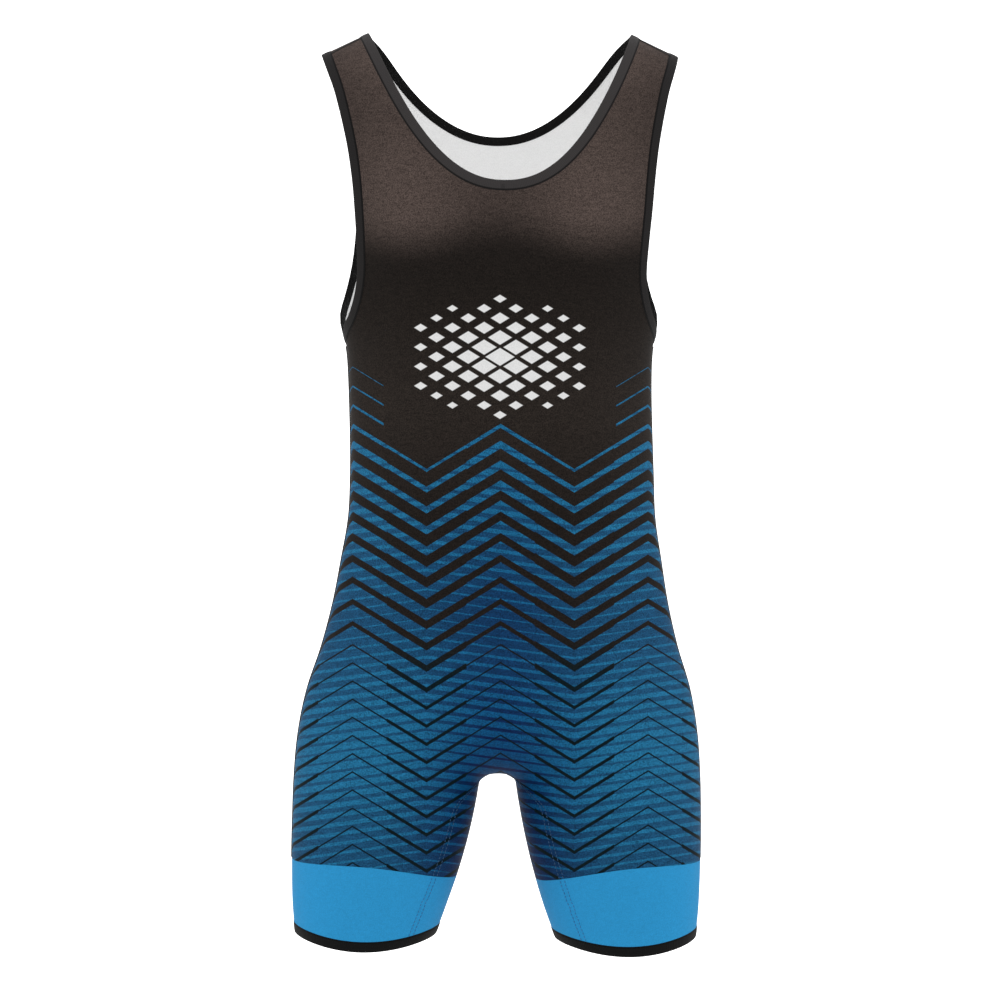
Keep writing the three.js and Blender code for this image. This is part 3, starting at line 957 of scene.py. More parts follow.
@dataclass(frozen=True)
class PrintedKnit(Knit):
    """White knit with a dye-sublimation print: warm black above, blue streaks under black zigzags below.

    Distances are in millimetres on the print. Down is measured from the origin's height. A zigzag's place is
    the height of its peaks. The colours also carry painted light: a painted highlight on both sides of the
    chest and on the tops of the straps, and painted shade down the chest's middle, under the chest and
    between the legs.
    """

    charcoal: str = "#443a36"
    black: str = "#221d1a"
    low_black: str = "#04161c"
    bright: str = "#1e6890"
    field_blue: str = "#194d71"
    # Shaded copies of the two blues, for the painted shade between the legs.
    shaded_bright: str = "#044473"
    shaded_field: str = "#021747"
    white: str = "#e6e6e6"
    white_contrast: float = 0.06
    # The charcoal fades to black under the chest: partly print, partly painted shade under the chest.
    fade_from: float = 148.0
    fade_to: float = 200.0
    # Painted highlight on both sides of the chest and painted shade down its middle, in the fade and in the
    # charcoal.
    fade_shade_swell: float = 7.0
    fade_period: float = 176.0
    chest_highlight: float = 1.12
    chest_highlight_swell: float = -0.25
    # Painted highlight on the tops of the straps, painted shade across their middle.
    strap_highlight_fall: Ramp = Ramp(15, 45, 1.08, 0.82)
    strap_shade_rise: Ramp = Ramp(70, 125, 0.82, 1.0)
    # Painted light and shade on the black: darker just under the chest, lighter across the belly, darker
    # again below.
    belly_painted_light_rise: Ramp = Ramp(218, 330, 0.75, 1.35)
    belly_painted_light_fall: Ramp = Ramp(350, 440, 1.35, 0.75)
    low_black_share: Ramp = Ramp(550, 590, 0.0, 1.0)
    period: float = 138.0
    slope: float = 0.61
    middle: float = 0.5
    soft_edge: float = 0.25
    first_blue: float = 352.4
    first_black: float = 362.2
    pitch: float = 18.7
    pitch_growth: float = 0.098
    black_width: float = 12.0
    black_loss: float = 0.83
    thick_beyond: float = 31.8
    thick_gain: float = 1.9
    fine_from: float = 548.8
    fine_first: float = 558.4
    fine_pitch: float = 16.9
    fine_width: float = 1.6
    first_gain: float = 1.4
    dash_first: float = 299.5
    dash_pitch: float = 17.9
    dash_width: float = 0.6
    dash_gain: float = 0.85
    dash_inside: float = 108.6
    streak_pitch: float = 9.013
    streak_slope: float = 0.14
    streak_turn: float = -68.6
    streak_at: float = 560.8
    streak_fall: Ramp = Ramp(358, 526, 0.85, 0.10)
    streak_rise: Ramp = Ramp(533, 652, 0.10, 0.80)
    streak_last_fall: Ramp = Ramp(652, 769, 0.80, 0.10)
    # Painted shade between the legs: the blues darken towards the middle, lower down and where the bright
    # streaks are thin.
    crotch_shade_half: float = 115.0
    crotch_shade_upper: Ramp = Ramp(395, 517, 0.2, 0.5)
    crotch_shade_lower: Ramp = Ramp(564, 666, 0.0, 0.52)
    crotch_shade_thin: Ramp = Ramp(0.1, 0.45, 0.12, 0.0)
    emblem_down: float = 290.0
    emblem_half: tuple[float, float] = (84.0, 62.0)
    emblem_cell: tuple[float, float] = (14.8, 9.03)
    emblem_fill: tuple[float, float] = (0.46, 0.17)
    emblem_soft: float = 0.02

    def zigzag(self, tree: Tree, u: Socket, v: Socket) -> dict[str, Socket]:
        """The place of the zigzag through a point, and 1 where its line is drawn thick.

        Args:
            tree: the material's node tree.
            u: distance across the print.
            v: distance down the print.

        Returns:
            Both, under the names place and thick.
        """
        moved = add(tree, "Math", {"operation": "SUBTRACT"}, {0: u, 1: self.middle})
        off = add(tree, "Math", {"operation": "PINGPONG"}, {0: moved, 1: self.period / 2})
        rise = add(tree, "Math", {"operation": "MULTIPLY"}, {0: off, 1: -self.slope})
        place = add(tree, "Math", {"operation": "ADD"}, {0: v, 1: rise})
        thick = add(tree, "Math", {"operation": "GREATER_THAN"}, {0: off, 1: self.thick_beyond})
        return {"place": place, "thick": thick}

    def bands(self, tree: Tree, zig: dict[str, Socket]) -> Socket:
        """1 in the wide black zigzags, whose pitch grows and whose width falls row by row.

        Args:
            tree: the material's node tree.
            zig: the place and the thickness of the zigzag through the point.

        Returns:
            The mask.
        """
        above = add(tree, "Math", {"operation": "SUBTRACT"}, {0: zig["place"], 1: self.first_black})
        growth = {0: above, 1: 4 * self.pitch_growth, 2: self.pitch**2}
        scaled = add(tree, "Math", {"operation": "MULTIPLY_ADD"}, growth)
        root = add(tree, "Math", {"operation": "SQRT"}, {0: scaled})
        first_row = {"Value": root, "From Min": self.pitch, "From Max": self.pitch + 2 * self.pitch_growth}
        row = add(tree, "MapRange", {"clamp": False}, first_row)
        whole = add(tree, "Math", {"operation": "ROUND"}, {0: row})
        off = add(tree, "Math", {"operation": "SUBTRACT"}, {0: row, 1: whole})
        off_mm = add(tree, "Math", {"operation": "MULTIPLY"}, {0: off, 1: root})
        apart = add(tree, "Math", {"operation": "ABSOLUTE"}, {0: off_mm})
        width = {0: whole, 1: -self.black_loss / 2, 2: self.black_width / 2}
        half = add(tree, "Math", {"operation": "MULTIPLY_ADD"}, width)
        gain = {0: zig["thick"], 1: self.thick_gain / 2, 2: half}
        gained = add(tree, "Math", {"operation": "MULTIPLY_ADD"}, gain)
        return self.inside(tree, apart, gained)

    def fine_lines(self, tree: Tree, zig: dict[str, Socket]) -> Socket:
        """1 in the thin black zigzags of the lower part.

        Args:
            tree: the material's node tree.
            zig: the place and the thickness of the zigzag through the point.

        Returns:
            The mask.
        """
        from_first = add(tree, "Math", {"operation": "SUBTRACT"}, {0: zig["place"], 1: self.fine_first})
        off = add(tree, "Math", {"operation": "PINGPONG"}, {0: from_first, 1: self.fine_pitch / 2})
        width = {0: zig["thick"], 1: self.thick_gain / 2, 2: self.fine_width / 2}
        half = add(tree, "Math", {"operation": "MULTIPLY_ADD"}, width)
        first_end = self.fine_first + self.fine_pitch / 2
        is_above = add(tree, "Math", {"operation": "LESS_THAN"}, {0: zig["place"], 1: first_end})
        is_first = add(tree, "Math", {"operation": "MULTIPLY"}, {0: is_above, 1: zig["thick"]})
        gain = {0: is_first, 1: self.first_gain / 2, 2: half}
        gained = add(tree, "Math", {"operation": "MULTIPLY_ADD"}, gain)
        return self.inside(tree, off, gained)

    def inside(self, tree: Tree, apart: Socket, half: Socket) -> Socket:
        """1 within half of a line's middle, 0 outside, with the soft edge of a printed dye."""
        spare = add(tree, "Math", {"operation": "SUBTRACT"}, {0: half, 1: apart})
        return Ramp(-self.soft_edge, self.soft_edge, 0.0, 1.0).at(tree, spare)

    def dashes(self, tree: Tree, zig: dict[str, Socket], u: Socket) -> Socket:
        """1 in the three short blue dashes at each side, above the first whole zigzag.

        Args:
            tree: the material's node tree.
            zig: the place and the thickness of the zigzag through the point.
            u: distance across the print.

        Returns:
            The mask.
        """
        second = self.dash_first + self.dash_pitch
        first_row = {"Value": zig["place"], "From Min": self.dash_first, "From Max": second}
        scaled = add(tree, "MapRange", {"clamp": False}, first_row)
        whole = add(tree, "Math", {"operation": "ROUND"}, {0: scaled})
        row = add(tree, "Clamp", {}, {"Value": whole, "Min": 0.0, "Max": 2.0})
        off = add(tree, "Math", {"operation": "SUBTRACT"}, {0: scaled, 1: row})
        apart = add(tree, "Math", {"operation": "ABSOLUTE"}, {0: off})
        apart_mm = add(tree, "Math", {"operation": "MULTIPLY"}, {0: apart, 1: self.dash_pitch})
        width = {0: row, 1: self.dash_gain / 2, 2: self.dash_width / 2}
        half = add(tree, "Math", {"operation": "MULTIPLY_ADD"}, width)
        side = add(tree, "Math", {"operation": "ABSOLUTE"}, {0: u})
        outer = add(tree, "Math", {"operation": "GREATER_THAN"}, {0: side, 1: self.dash_inside})
        return add(tree, "Math", {"operation": "MULTIPLY"}, {0: self.inside(tree, apart_mm, half), 1: outer})

    def streaks(self, tree: Tree, u: Socket, v: Socket) -> Socket:
        """Colour of the nearly level streaks, bright and dark in turn, with painted shade that darkens them
        towards the middle and lower down, between the legs.

        Args:
            tree: the material's node tree.
            u: distance across the print.
            v: distance down the print.

        Returns:
            The colour.
        """
        turned = add(tree, "Math", {"operation": "SUBTRACT"}, {0: u, 1: self.streak_turn})
        run = add(tree, "Math", {"operation": "PINGPONG"}, {0: turned, 1: self.period})
        level = add(tree, "Math", {"operation": "MULTIPLY_ADD"}, {0: run, 1: -self.streak_slope, 2: v})
        from_first = add(tree, "Math", {"operation": "SUBTRACT"}, {0: level, 1: self.streak_at})
        off = add(tree, "Math", {"operation": "PINGPONG"}, {0: from_first, 1: self.streak_pitch / 2})
        lower = {0: self.streak_rise.at(tree, level), 1: self.streak_last_fall.at(tree, level)}
        swell = add(tree, "Math", {"operation": "MINIMUM"}, lower)
        share = add(tree, "Math", {"operation": "MAXIMUM"}, {0: self.streak_fall.at(tree, level), 1: swell})
        half = add(tree, "Math", {"operation": "MULTIPLY"}, {0: share, 1: self.streak_pitch / 2})
        # Painted shade between the legs: how far each blue mixes towards its shaded copy.
        side = add(tree, "Math", {"operation": "ABSOLUTE"}, {0: u})
        span = {"Value": side, "From Max": self.crotch_shade_half, "To Min": 1.0, "To Max": 0.0}
        inward = add(tree, "MapRange", {"interpolation_type": "SMOOTHSTEP"}, span)
        down = {0: self.crotch_shade_upper.at(tree, v), 1: self.crotch_shade_lower.at(tree, v)}
        downward = add(tree, "Math", {"operation": "ADD"}, down)
        parts = {0: inward, 1: downward, 2: self.crotch_shade_thin.at(tree, share)}
        crotch_shade = add(tree, "Math", {"operation": "MULTIPLY_ADD", "use_clamp": True}, parts)
        painted_light_tones = []
        for pale, dark in ((self.field_blue, self.shaded_field), (self.bright, self.shaded_bright)):
            mix = {"Factor": crotch_shade, "A": linear(pale), "B": linear(dark)}
            painted_light_tones.append(add(tree, "Mix", {"data_type": "RGBA"}, mix, "Result"))
        mask = {"Factor": self.inside(tree, off, half), "A": painted_light_tones[0], "B": painted_light_tones[1]}
        return add(tree, "Mix", {"data_type": "RGBA"}, mask, "Result")

    def emblem(self, tree: Tree, u: Socket, v: Socket) -> Socket:
        """1 in a field of plain white lozenges that grow smaller away from its middle.

        Args:
            tree: the material's node tree.
            u: distance across the print.
            v: distance down the print.

        Returns:
            The mask.
        """
        cell_x, cell_y = self.emblem_cell
        right = add(tree, "Math", {"operation": "DIVIDE"}, {0: u, 1: 2 * cell_x})
        first_row = {"Value": v, "From Min": self.emblem_down, "From Max": self.emblem_down + 2 * cell_y}
        down = add(tree, "MapRange", {"clamp": False}, first_row)
        inside, wholes = [], []
        for operation in ("ADD", "SUBTRACT"):
            along = add(tree, "Math", {"operation": operation}, {0: down, 1: right})
            whole = add(tree, "Math", {"operation": "ROUND"}, {0: along})
            off = add(tree, "Math", {"operation": "SUBTRACT"}, {0: along, 1: whole})
            inside.append(add(tree, "Math", {"operation": "ABSOLUTE"}, {0: off}))
            wholes.append(whole)
        apart = add(tree, "Math", {"operation": "MAXIMUM"}, {0: inside[0], 1: inside[1]})
        spans = []
        sizes = zip(("SUBTRACT", "ADD"), self.emblem_cell, self.emblem_half)
        for operation, cell, half in sizes:
            step = add(tree, "Math", {"operation": operation}, {0: wholes[0], 1: wholes[1]})
            size = add(tree, "Math", {"operation": "ABSOLUTE"}, {0: step})
            spans.append(add(tree, "Math", {"operation": "MULTIPLY"}, {0: size, 1: cell / half}))
        slant = add(tree, "Math", {"operation": "MULTIPLY_ADD"}, {0: spans[0], 1: 0.5, 2: spans[1]})
        reach = add(tree, "Math", {"operation": "MAXIMUM"}, {0: slant, 1: spans[0]})
        half_size = Ramp(0.0, 1.0, *self.emblem_fill).at(tree, reach)
        spare = add(tree, "Math", {"operation": "SUBTRACT"}, {0: half_size, 1: apart})
        mask = Ramp(-self.emblem_soft, self.emblem_soft, 0.0, 1.0).at(tree, spare)
        field_mask = add(tree, "Math", {"operation": "LESS_THAN"}, {0: reach, 1: 1.0})
        return add(tree, "Math", {"operation": "MULTIPLY"}, {0: mask, 1: field_mask})

    def ground_with_painted_light(self, tree: Tree, u: Socket, v: Socket) -> Socket:
        """The charcoal of the shoulders fading to black under the chest, partly print and partly painted
        shade, with a painted highlight on both sides of the chest and the tops of the straps, painted shade
        down the chest's middle and across the straps' middle, and painted light and shade on the black of
        the belly.

        Args:
            tree: the material's node tree.
            u: distance across the print.
            v: distance down the print.

        Returns:
            The colour.
        """
        # Painted highlight on both sides of the chest and painted shade down its middle.
        turn = add(tree, "Math", {"operation": "MULTIPLY"}, {0: u, 1: 2 * math.pi / self.fade_period})
        swell = add(tree, "Math", {"operation": "COSINE"}, {0: turn})
        place = add(tree, "Math", {"operation": "MULTIPLY_ADD"}, {0: swell, 1: self.fade_shade_swell, 2: v})
        span = {"Value": place, "From Min": self.fade_from, "From Max": self.fade_to}
        fade = add(tree, "MapRange", {"interpolation_type": "SMOOTHSTEP"}, span)
        side = {0: swell, 1: self.chest_highlight_swell, 2: self.chest_highlight}
        across = add(tree, "Math", {"operation": "MULTIPLY_ADD"}, side)
        # Painted highlight on the tops of the straps, painted shade across their middle.
        strap = {0: self.strap_highlight_fall.at(tree, v), 1: self.strap_shade_rise.at(tree, v)}
        upper = add(tree, "Math", {"operation": "MAXIMUM"}, strap)
        chest = add(tree, "Math", {"operation": "MULTIPLY"}, {0: across, 1: upper})
        # Painted light and shade on the black of the belly.
        low = {0: self.belly_painted_light_rise.at(tree, v), 1: self.belly_painted_light_fall.at(tree, v)}
        belly = add(tree, "Math", {"operation": "MINIMUM"}, low)
        painted_light_tones = []
        for code, light in ((self.charcoal, chest), (self.black, belly)):
            scale = {0: linear(code)[:3], "Scale": light}
            painted_light_tones.append(add(tree, "VectorMath", {"operation": "SCALE"}, scale))
        mix = {"Factor": fade, "A": painted_light_tones[0], "B": painted_light_tones[1]}
        warm = add(tree, "Mix", {"data_type": "RGBA"}, mix, "Result")
        cool = {"Factor": self.low_black_share.at(tree, v), "A": warm, "B": linear(self.low_black)}
        return add(tree, "Mix", {"data_type": "RGBA"}, cool, "Result")

    def material(self, has_emblem: bool) -> Material:
        """The printed face of a panel, with or without the white emblem.

        Args:
            has_emblem: whether the panel carries the emblem.

        Returns:
            The material.
        """
        material = new_material("printed_knit_front" if has_emblem else "printed_knit_back")
        tree = material.node_tree
        place = add(tree, "Attribute", {"attribute_name": "print_place"}, {}, "Vector")
        u, v, _ = add(tree, "SeparateXYZ", {}, {0: place}).node.outputs
        zig = self.zigzag(tree, u, v)
        is_fine = add(tree, "Math", {"operation": "GREATER_THAN"}, {0: zig["place"], 1: self.fine_from})
        kinds = {"Factor": is_fine, "A": self.bands(tree, zig), "B": self.fine_lines(tree, zig)}
        lines = add(tree, "Mix", {"data_type": "FLOAT"}, kinds, "Result")
        is_above = add(tree, "Math", {"operation": "LESS_THAN"}, {0: zig["place"], 1: self.first_blue})
        covered = add(tree, "Math", {"operation": "MAXIMUM"}, {0: lines, 1: is_above})
        short = {0: self.dashes(tree, zig, u), 1: is_above}
        dashes = add(tree, "Math", {"operation": "MULTIPLY"}, short)
        black = add(tree, "Math", {"operation": "SUBTRACT"}, {0: covered, 1: dashes})
        # The print, with its painted light and shade.
        print_and_painted_light = {"Factor": black, "A": self.streaks(tree, u, v), "B": self.ground_with_painted_light(tree, u, v)}
        colour = add(tree, "Mix", {"data_type": "RGBA"}, print_and_painted_light, "Result")
        grain = self.grain_height(tree)
        colour = self.shaded(tree, colour, grain, self.contrast)
        if has_emblem:
            base = add(tree, "RGB", {}, {})
            base.default_value = linear(self.white)
            white = self.shaded(tree, base, grain, self.white_contrast)
            mix = {"Factor": self.emblem(tree, u, v), "A": colour, "B": white}
            colour = add(tree, "Mix", {"data_type": "RGBA"}, mix, "Result")
        return finish_material(material, self.surface(colour), grain, self.relief)


@dataclass(frozen=True)
class PlainKnit(Knit):
    """One dyed colour of the same knit, such as the light blue bands or the white reverse of the print."""

    name: str = "band_knit"
    colour: str = "#2c93cc"
    contrast: float = 0.09

    def material(self) -> Material:
        """The knit in its one colour.

        Returns:
            The material.
        """
        material = new_material(self.name)
        tree = material.node_tree
        grain = self.grain_height(tree)
        base = add(tree, "RGB", {}, {})
        base.default_value = linear(self.colour)
        colour = self.shaded(tree, base, grain, self.contrast)
        return finish_material(material, self.surface(colour), grain, self.relief)


@dataclass(frozen=True)
class EdgeStrip:
    """A narrow strip of knit-covered elastic or folded binding: matt, with fine ribs across its length.

    The ribs are 0.9 mm apart in the real strip and are drawn at 1.6 mm, the finest that shows.
    """

    name: str = "edge_binding"
    colour: str = "#201e1e"
    rib: float = 1.6
    relief: float = 0.00012
    roughness: float = 0.72
    specular: float = 0.12
    sheen: float = 0.03
    sheen_roughness: float = 0.5
    # Painted shadow along the groove on the panel's side, and painted shade on the strip's underside.
    groove_shadow: Ramp = Ramp(0.0, 0.09, 0.2, 1.0)
    inner_shade: Ramp = Ramp(0.0, 1.0, 1.0, 0.1)
    rib_shade: Ramp = Ramp(0.0, 1.0, 0.9, 1.06)

    def material(self) -> Material:
        """The strip's cloth: ribs across it, painted shadow along the groove on the panel's side, and
        painted shade on its underside.

        Returns:
            The material.
        """
        material = new_material(self.name)
        tree = material.node_tree
        place = add(tree, "Attribute", {"attribute_name": "strip_place"}, {}, "Vector")
        along, across, inner = add(tree, "SeparateXYZ", {}, {0: place}).node.outputs
        turn = add(tree, "Math", {"operation": "MULTIPLY"}, {0: along, 1: 2 * math.pi / self.rib})
        wave = add(tree, "Math", {"operation": "SINE"}, {0: turn})
        ribs = Ramp(-1.0, 1.0, 0.0, 1.0).at(tree, wave)
        # Painted shadow along the groove, darkest on the lip.
        groove_shadow_share = self.groove_shadow.at(tree, across)
        # Painted shade on the strip's underside.
        underside_shade = self.inner_shade.at(tree, inner)
        base = add(tree, "RGB", {}, {})
        base.default_value = linear(self.colour)
        shade = self.rib_shade.at(tree, ribs)
        outside = add(tree, "Math", {"operation": "MULTIPLY"}, {0: shade, 1: groove_shadow_share})
        lit = add(tree, "Math", {"operation": "MULTIPLY"}, {0: outside, 1: underside_shade})
        shader = {
            "Base Color": add(tree, "VectorMath", {"operation": "SCALE"}, {0: base, "Scale": lit}),
            "Roughness": self.roughness,
            "Specular IOR Level": self.specular,
            "Sheen Weight": self.sheen,
            "Sheen Roughness": self.sheen_roughness,
        }
        return finish_material(material, shader, ribs, self.relief)


@dataclass(frozen=True)
class Thread:
    """Twisted polyester sewing thread: smooth, with a soft shine along its turns."""

    name: str = "seam_thread"
    colour: str = "#0b0b0c"
    twist_scale: float = 2500.0
    twist_shade: Ramp = Ramp(0.0, 1.0, 0.75, 1.25)
    roughness: float = 0.5

    def material(self) -> Material:
        """The thread, lighter where its twist catches the light.

        Returns:
            The material.
        """
        material = new_material(self.name)
        tree = material.node_tree
        place = add(tree, "TexCoord", {}, {}, "Object")
        twist = add(tree, "TexNoise", {}, {"Vector": place, "Scale": self.twist_scale, "Detail": 1.0})
        base = add(tree, "RGB", {}, {})
        base.default_value = linear(self.colour)
        shade = self.twist_shade.at(tree, twist)
        shader = {
            "Base Color": add(tree, "VectorMath", {"operation": "SCALE"}, {0: base, "Scale": shade}),
            "Roughness": self.roughness,
        }
        return finish_material(material, shader, None, 0)


def make_object(
    name: str,
    points: Array,
    faces: Faces,
    materials: Sequence[Material],
    face_slots: Sequence[int] | None = None,
) -> Piece:
    """Makes a smooth mesh object from points in millimetres.

    Args:
        name: the piece's name.
        points: its vertices.
        faces: its faces, facing out.
        materials: its material slots.
        face_slots: the slot of each face, or None for the first.

    Returns:
        The object, linked to the scene.
    """
    mesh = bpy.data.meshes.new(name)
    mesh.from_pydata((points * MM).tolist(), [], faces)
    for material in materials:
        mesh.materials.append(material)
    mesh.polygons.foreach_set("use_smooth", np.ones(len(faces), bool))
    if face_slots is not None:
        mesh.polygons.foreach_set("material_index", np.asarray(face_slots, np.int32))
    mesh.set_sharp_from_angle(angle=SHARP_ANGLE)
    mesh.update()
    piece = bpy.data.objects.new(name, mesh)
    bpy.context.scene.collection.objects.link(piece)
    return piece


def write_places(piece: Piece, name: str, places: Array) -> None:
    """Writes a vector for each vertex, from two or three values each, under a name that materials read.

    Args:
        piece: the mesh object.
        name: the attribute's name.
        places: the values of each vertex.
    """
    values = np.zeros((len(places), 3), np.float32)
    values[:, : places.shape[1]] = places
    attribute = piece.data.attributes.new(name, "FLOAT_VECTOR", "POINT")
    attribute.data.foreach_set("vector", values.ravel())


@dataclass
class Shell:
    """Thin cloth over grids of points: its outer face, its reverse and its cut edges."""

    form: BodyForm
    thickness: float = 0.9

    def build(self, name: str, grids: Sequence[Array], face: Material, reverse: Material) -> Piece:
        """Builds the cloth.

        Args:
            name: the piece's name.
            grids: grids of points of the outer face; points that meet are joined.
            face: material of the outer face.
            reverse: material of the inner face.

        Returns:
            The piece.
        """
        points, quads = self.join(grids)
        inner = points - self.form.outward(points) * self.thickness
        count = len(points)
        first = points[list(quads[0])]
        normal = np.cross(first[1] - first[0], first[2] - first[0])
        if normal @ self.form.outward(first[:1])[0] < 0:
            quads = [quad[::-1] for quad in quads]
        backs = [tuple(i + count for i in quad[::-1]) for quad in quads]
        walls = self.walls(quads, count)
        places = self.form.print_place(points)
        stood = self.form.stand(np.concatenate([points, inner]))
        slots = [0] * len(quads) + [1] * len(backs) + [0] * len(walls)
        piece = make_object(name, stood, quads + backs + walls, [face, reverse], slots)
        write_places(piece, "print_place", np.concatenate([places, places]))
        return piece

    @staticmethod
    def join(grids: Sequence[Array]) -> tuple[Array, list[Quad]]:
        """Points and quads of some grids, with the points that meet joined.

        Args:
            grids: grids of points, each a row at a time.

        Returns:
            The points, and quads that index them.
        """
        keys: dict[tuple[int, int, int], int] = {}
        points: list[Array] = []
        quads: list[Quad] = []
        for grid in grids:
            rows, columns = grid.shape[:2]
            index = np.empty((rows, columns), int)
            rounded = np.round(grid * 1e3).astype(int)
            for r in range(rows):
                for c in range(columns):
                    key = tuple(rounded[r, c])
                    if key not in keys:
                        keys[key] = len(points)
                        points.append(grid[r, c])
                    index[r, c] = keys[key]
            for r in range(rows - 1):
                for c in range(columns - 1):
                    quads.append((index[r, c], index[r, c + 1], index[r + 1, c + 1], index[r + 1, c]))
        return np.array(points), [tuple(int(i) for i in quad) for quad in quads]

    @staticmethod
    def walls(quads: list[Quad], count: int) -> list[Quad]:
        """Quads along the open edges, from the outer face to the reverse."""
        edges = {(quad[k], quad[(k + 1) % 4]) for quad in quads for k in range(4)}
        return [(j, i, i + count, j + count) for i, j in edges if (j, i) not in edges]


@dataclass
class Strip:
    """A bound edge: a rounded strip swept round an opening, with a thin lip on the panel's side for its
    coverstitched edge, dark with the painted shadow of the groove.
    """

    form: BodyForm
    proud: float = 0.6
    under: float = 1.5
    corner: float = 1.0
    lip: float = 1.1
    crown: float = 0.12
    inner_below: float = -0.4

    def section(self, width: float) -> Array:
        """The strip's section from its crown round: places across, and heights over the cloth.

        Args:
            width: the strip's width.

        Returns:
            The section's points.
        """
        corner, low = self.corner, self.corner - self.under
        points = [(width * 0.5, self.proud + self.crown)]
        for middle_x, middle_y, start in (
            (width - corner, self.proud - corner, 90),
            (width - corner, low, 0),
            (corner, low, -90),
        ):
            for step in range(4):
                angle = math.radians(start - step * 30)
                points.append((middle_x + corner * math.cos(angle), middle_y + corner * math.sin(angle)))
        # The lip is darkened by the binding's material as the painted shadow of the groove.
        lip = self.lip
        points += [(0.0, -0.35), (0.1 - lip, -0.2), (-lip, 0.08), (0.1 - lip, 0.24), (0.0, 0.26)]
        points += [(0.12, 0.42), (0.45, self.proud - 0.05), (corner, self.proud)]
        return np.array(points)

    def build(
        self, name: str, groove: Array, edge: Array, width: float, material: Material, flip: bool
    ) -> Piece:
        """Sweeps the strip round a loop.

        Args:
            name: the piece's name.
            groove: points of the loop's inner line, each once.
            edge: points of the opening's edge beside them.
            width: the strip's width.
            material: its finish.
            flip: whether it is the mirrored one.

        Returns:
            The piece.
        """
        section = self.section(width) / np.array([width, 1.0])
        normals = [self.form.outward(groove), self.form.outward(edge)]
        rings = []
        for across, height in section:
            normal = normals[0] * (1 - across) + normals[1] * across
            normal /= np.linalg.norm(normal, axis=1, keepdims=True)
            rings.append(groove * (1 - across) + edge * across + normal * height)
        grid = np.stack(rings, axis=1)
        count, sides = grid.shape[:2]
        closed = np.concatenate([groove, groove[:1]])
        lengths = Run(closed).lengths[:-1]
        faces = []
        for i in range(count):
            for k in range(sides):
                a, b = i * sides + k, i * sides + (k + 1) % sides
                c, d = ((i + 1) % count) * sides + (k + 1) % sides, ((i + 1) % count) * sides + k
                faces.append((a, b, c, d))
        points = grid.reshape(-1, 3)
        if flip:
            points = mirrored(points)
        stood = self.form.stand(points)
        faces = self.outward_faces(stood, faces)
        piece = make_object(name, stood, faces, [material])
        along = np.repeat(lengths, sides)
        across = np.tile(section[:, 0], count)
        inner = np.tile(section[:, 1] < self.inner_below, count)
        write_places(piece, "strip_place", np.stack([along, across, inner], axis=1))
        return piece

    @staticmethod
    def outward_faces(points: Array, faces: Faces) -> Faces:
        """The faces, turned if they face into the strip.

        Args:
            points: the strip's points.
            faces: its faces, all wound the same way.

        Returns:
            The faces, wound outwards.
        """
        quads = points[np.array(faces)]
        cross = np.cross(quads[:, 2] - quads[:, 0], quads[:, 3] - quads[:, 1])
        volume = float((quads.mean(axis=1) * cross).sum())
        return [face[::-1] for face in faces] if volume < 0 else faces


@dataclass(frozen=True)
class Cut:
    """The flat cut of a piece of knit before it is worn, in metres: what it fits in, and its area."""

    width: float
    length: float
    area: float

    def declare(self, piece: Piece) -> None:
        """Does nothing: a piece of this cut is passed in and left as it is."""


# Worn, the knit is taken to be stretched 6% across and 3% along.
CUTS = {
    "front_panel": Cut(width=0.532, length=0.784, area=0.2315),
    "back_panel": Cut(width=0.664, length=0.81, area=0.2775),
    "band_front": Cut(width=0.176, length=0.0727, area=0.0106),
    "band_back": Cut(width=0.302, length=0.0606, area=0.0152),
}


@dataclass
class StitchRow:
    """A row of machine stitches: short rounded dashes of thread, half sunk in the cloth."""

    form: BodyForm
    length: float = 2.3
    pitch: float = 3.3
    thread: float = 0.42

    def dashes(self, line: Array, lift: float) -> tuple[Array, Faces]:
        """Points and faces of the stitches along a line of the symmetric form.

        Args:
            line: points of the row on the cloth.
            lift: height of the thread's middle over the cloth.

        Returns:
            The points, and faces that index them.
        """
        run = Run(line)
        count = max(int(run.total / self.pitch), 1)
        starts = (np.arange(count) + 0.5) * run.total / count
        shares = np.array([-0.5, -0.38, 0.0, 0.38, 0.5])
        sizes = np.array([0.15, 0.8, 1.0, 0.8, 0.15]) * self.thread
        centres = points_at(line, run.index((starts[:, None] + shares * self.length).clip(0, run.total)))
        along = centres[:, -1] - centres[:, 0]
        along /= np.linalg.norm(along, axis=1, keepdims=True)
        normal = self.form.outward(centres[:, 2])
        across = np.cross(along, normal)
        points, faces = [], []
        for i in range(count):
            base = len(points)
            for k, size in enumerate(sizes):
                for side in range(6):
                    angle = math.pi / 3 * side
                    out = normal[i] * math.sin(angle) + across[i] * math.cos(angle)
                    points.append(centres[i, k] + normal[i] * lift + out * size)
            for k in range(4):
                for side in range(6):
                    a, b = base + k * 6 + side, base + k * 6 + (side + 1) % 6
                    faces.append((a, b, b + 6, a + 6))
            faces.append(tuple(base + side for side in reversed(range(6))))
            faces.append(tuple(base + 24 + side for side in range(6)))
        return np.array(points), faces

    def build(self, name: str, lines: Sequence[Array], lift: float, material: Material) -> Piece:
        """One piece with the stitches of some lines of the symmetric form.

        Args:
            name: the piece's name.
            lines: points of each row.
            lift: height of the thread's middle over the cloth.
            material: its finish.

        Returns:
            The piece.
        """
        points: list[Array] = []
        faces: Faces = []
        total = 0
        for line in lines:
            row_points, row_faces = self.dashes(line, lift)
            points.append(row_points)
            faces += [tuple(i + total for i in face) for face in row_faces]
            total += len(row_points)
        return make_object(name, self.form.stand(np.concatenate(points)), faces, [material])


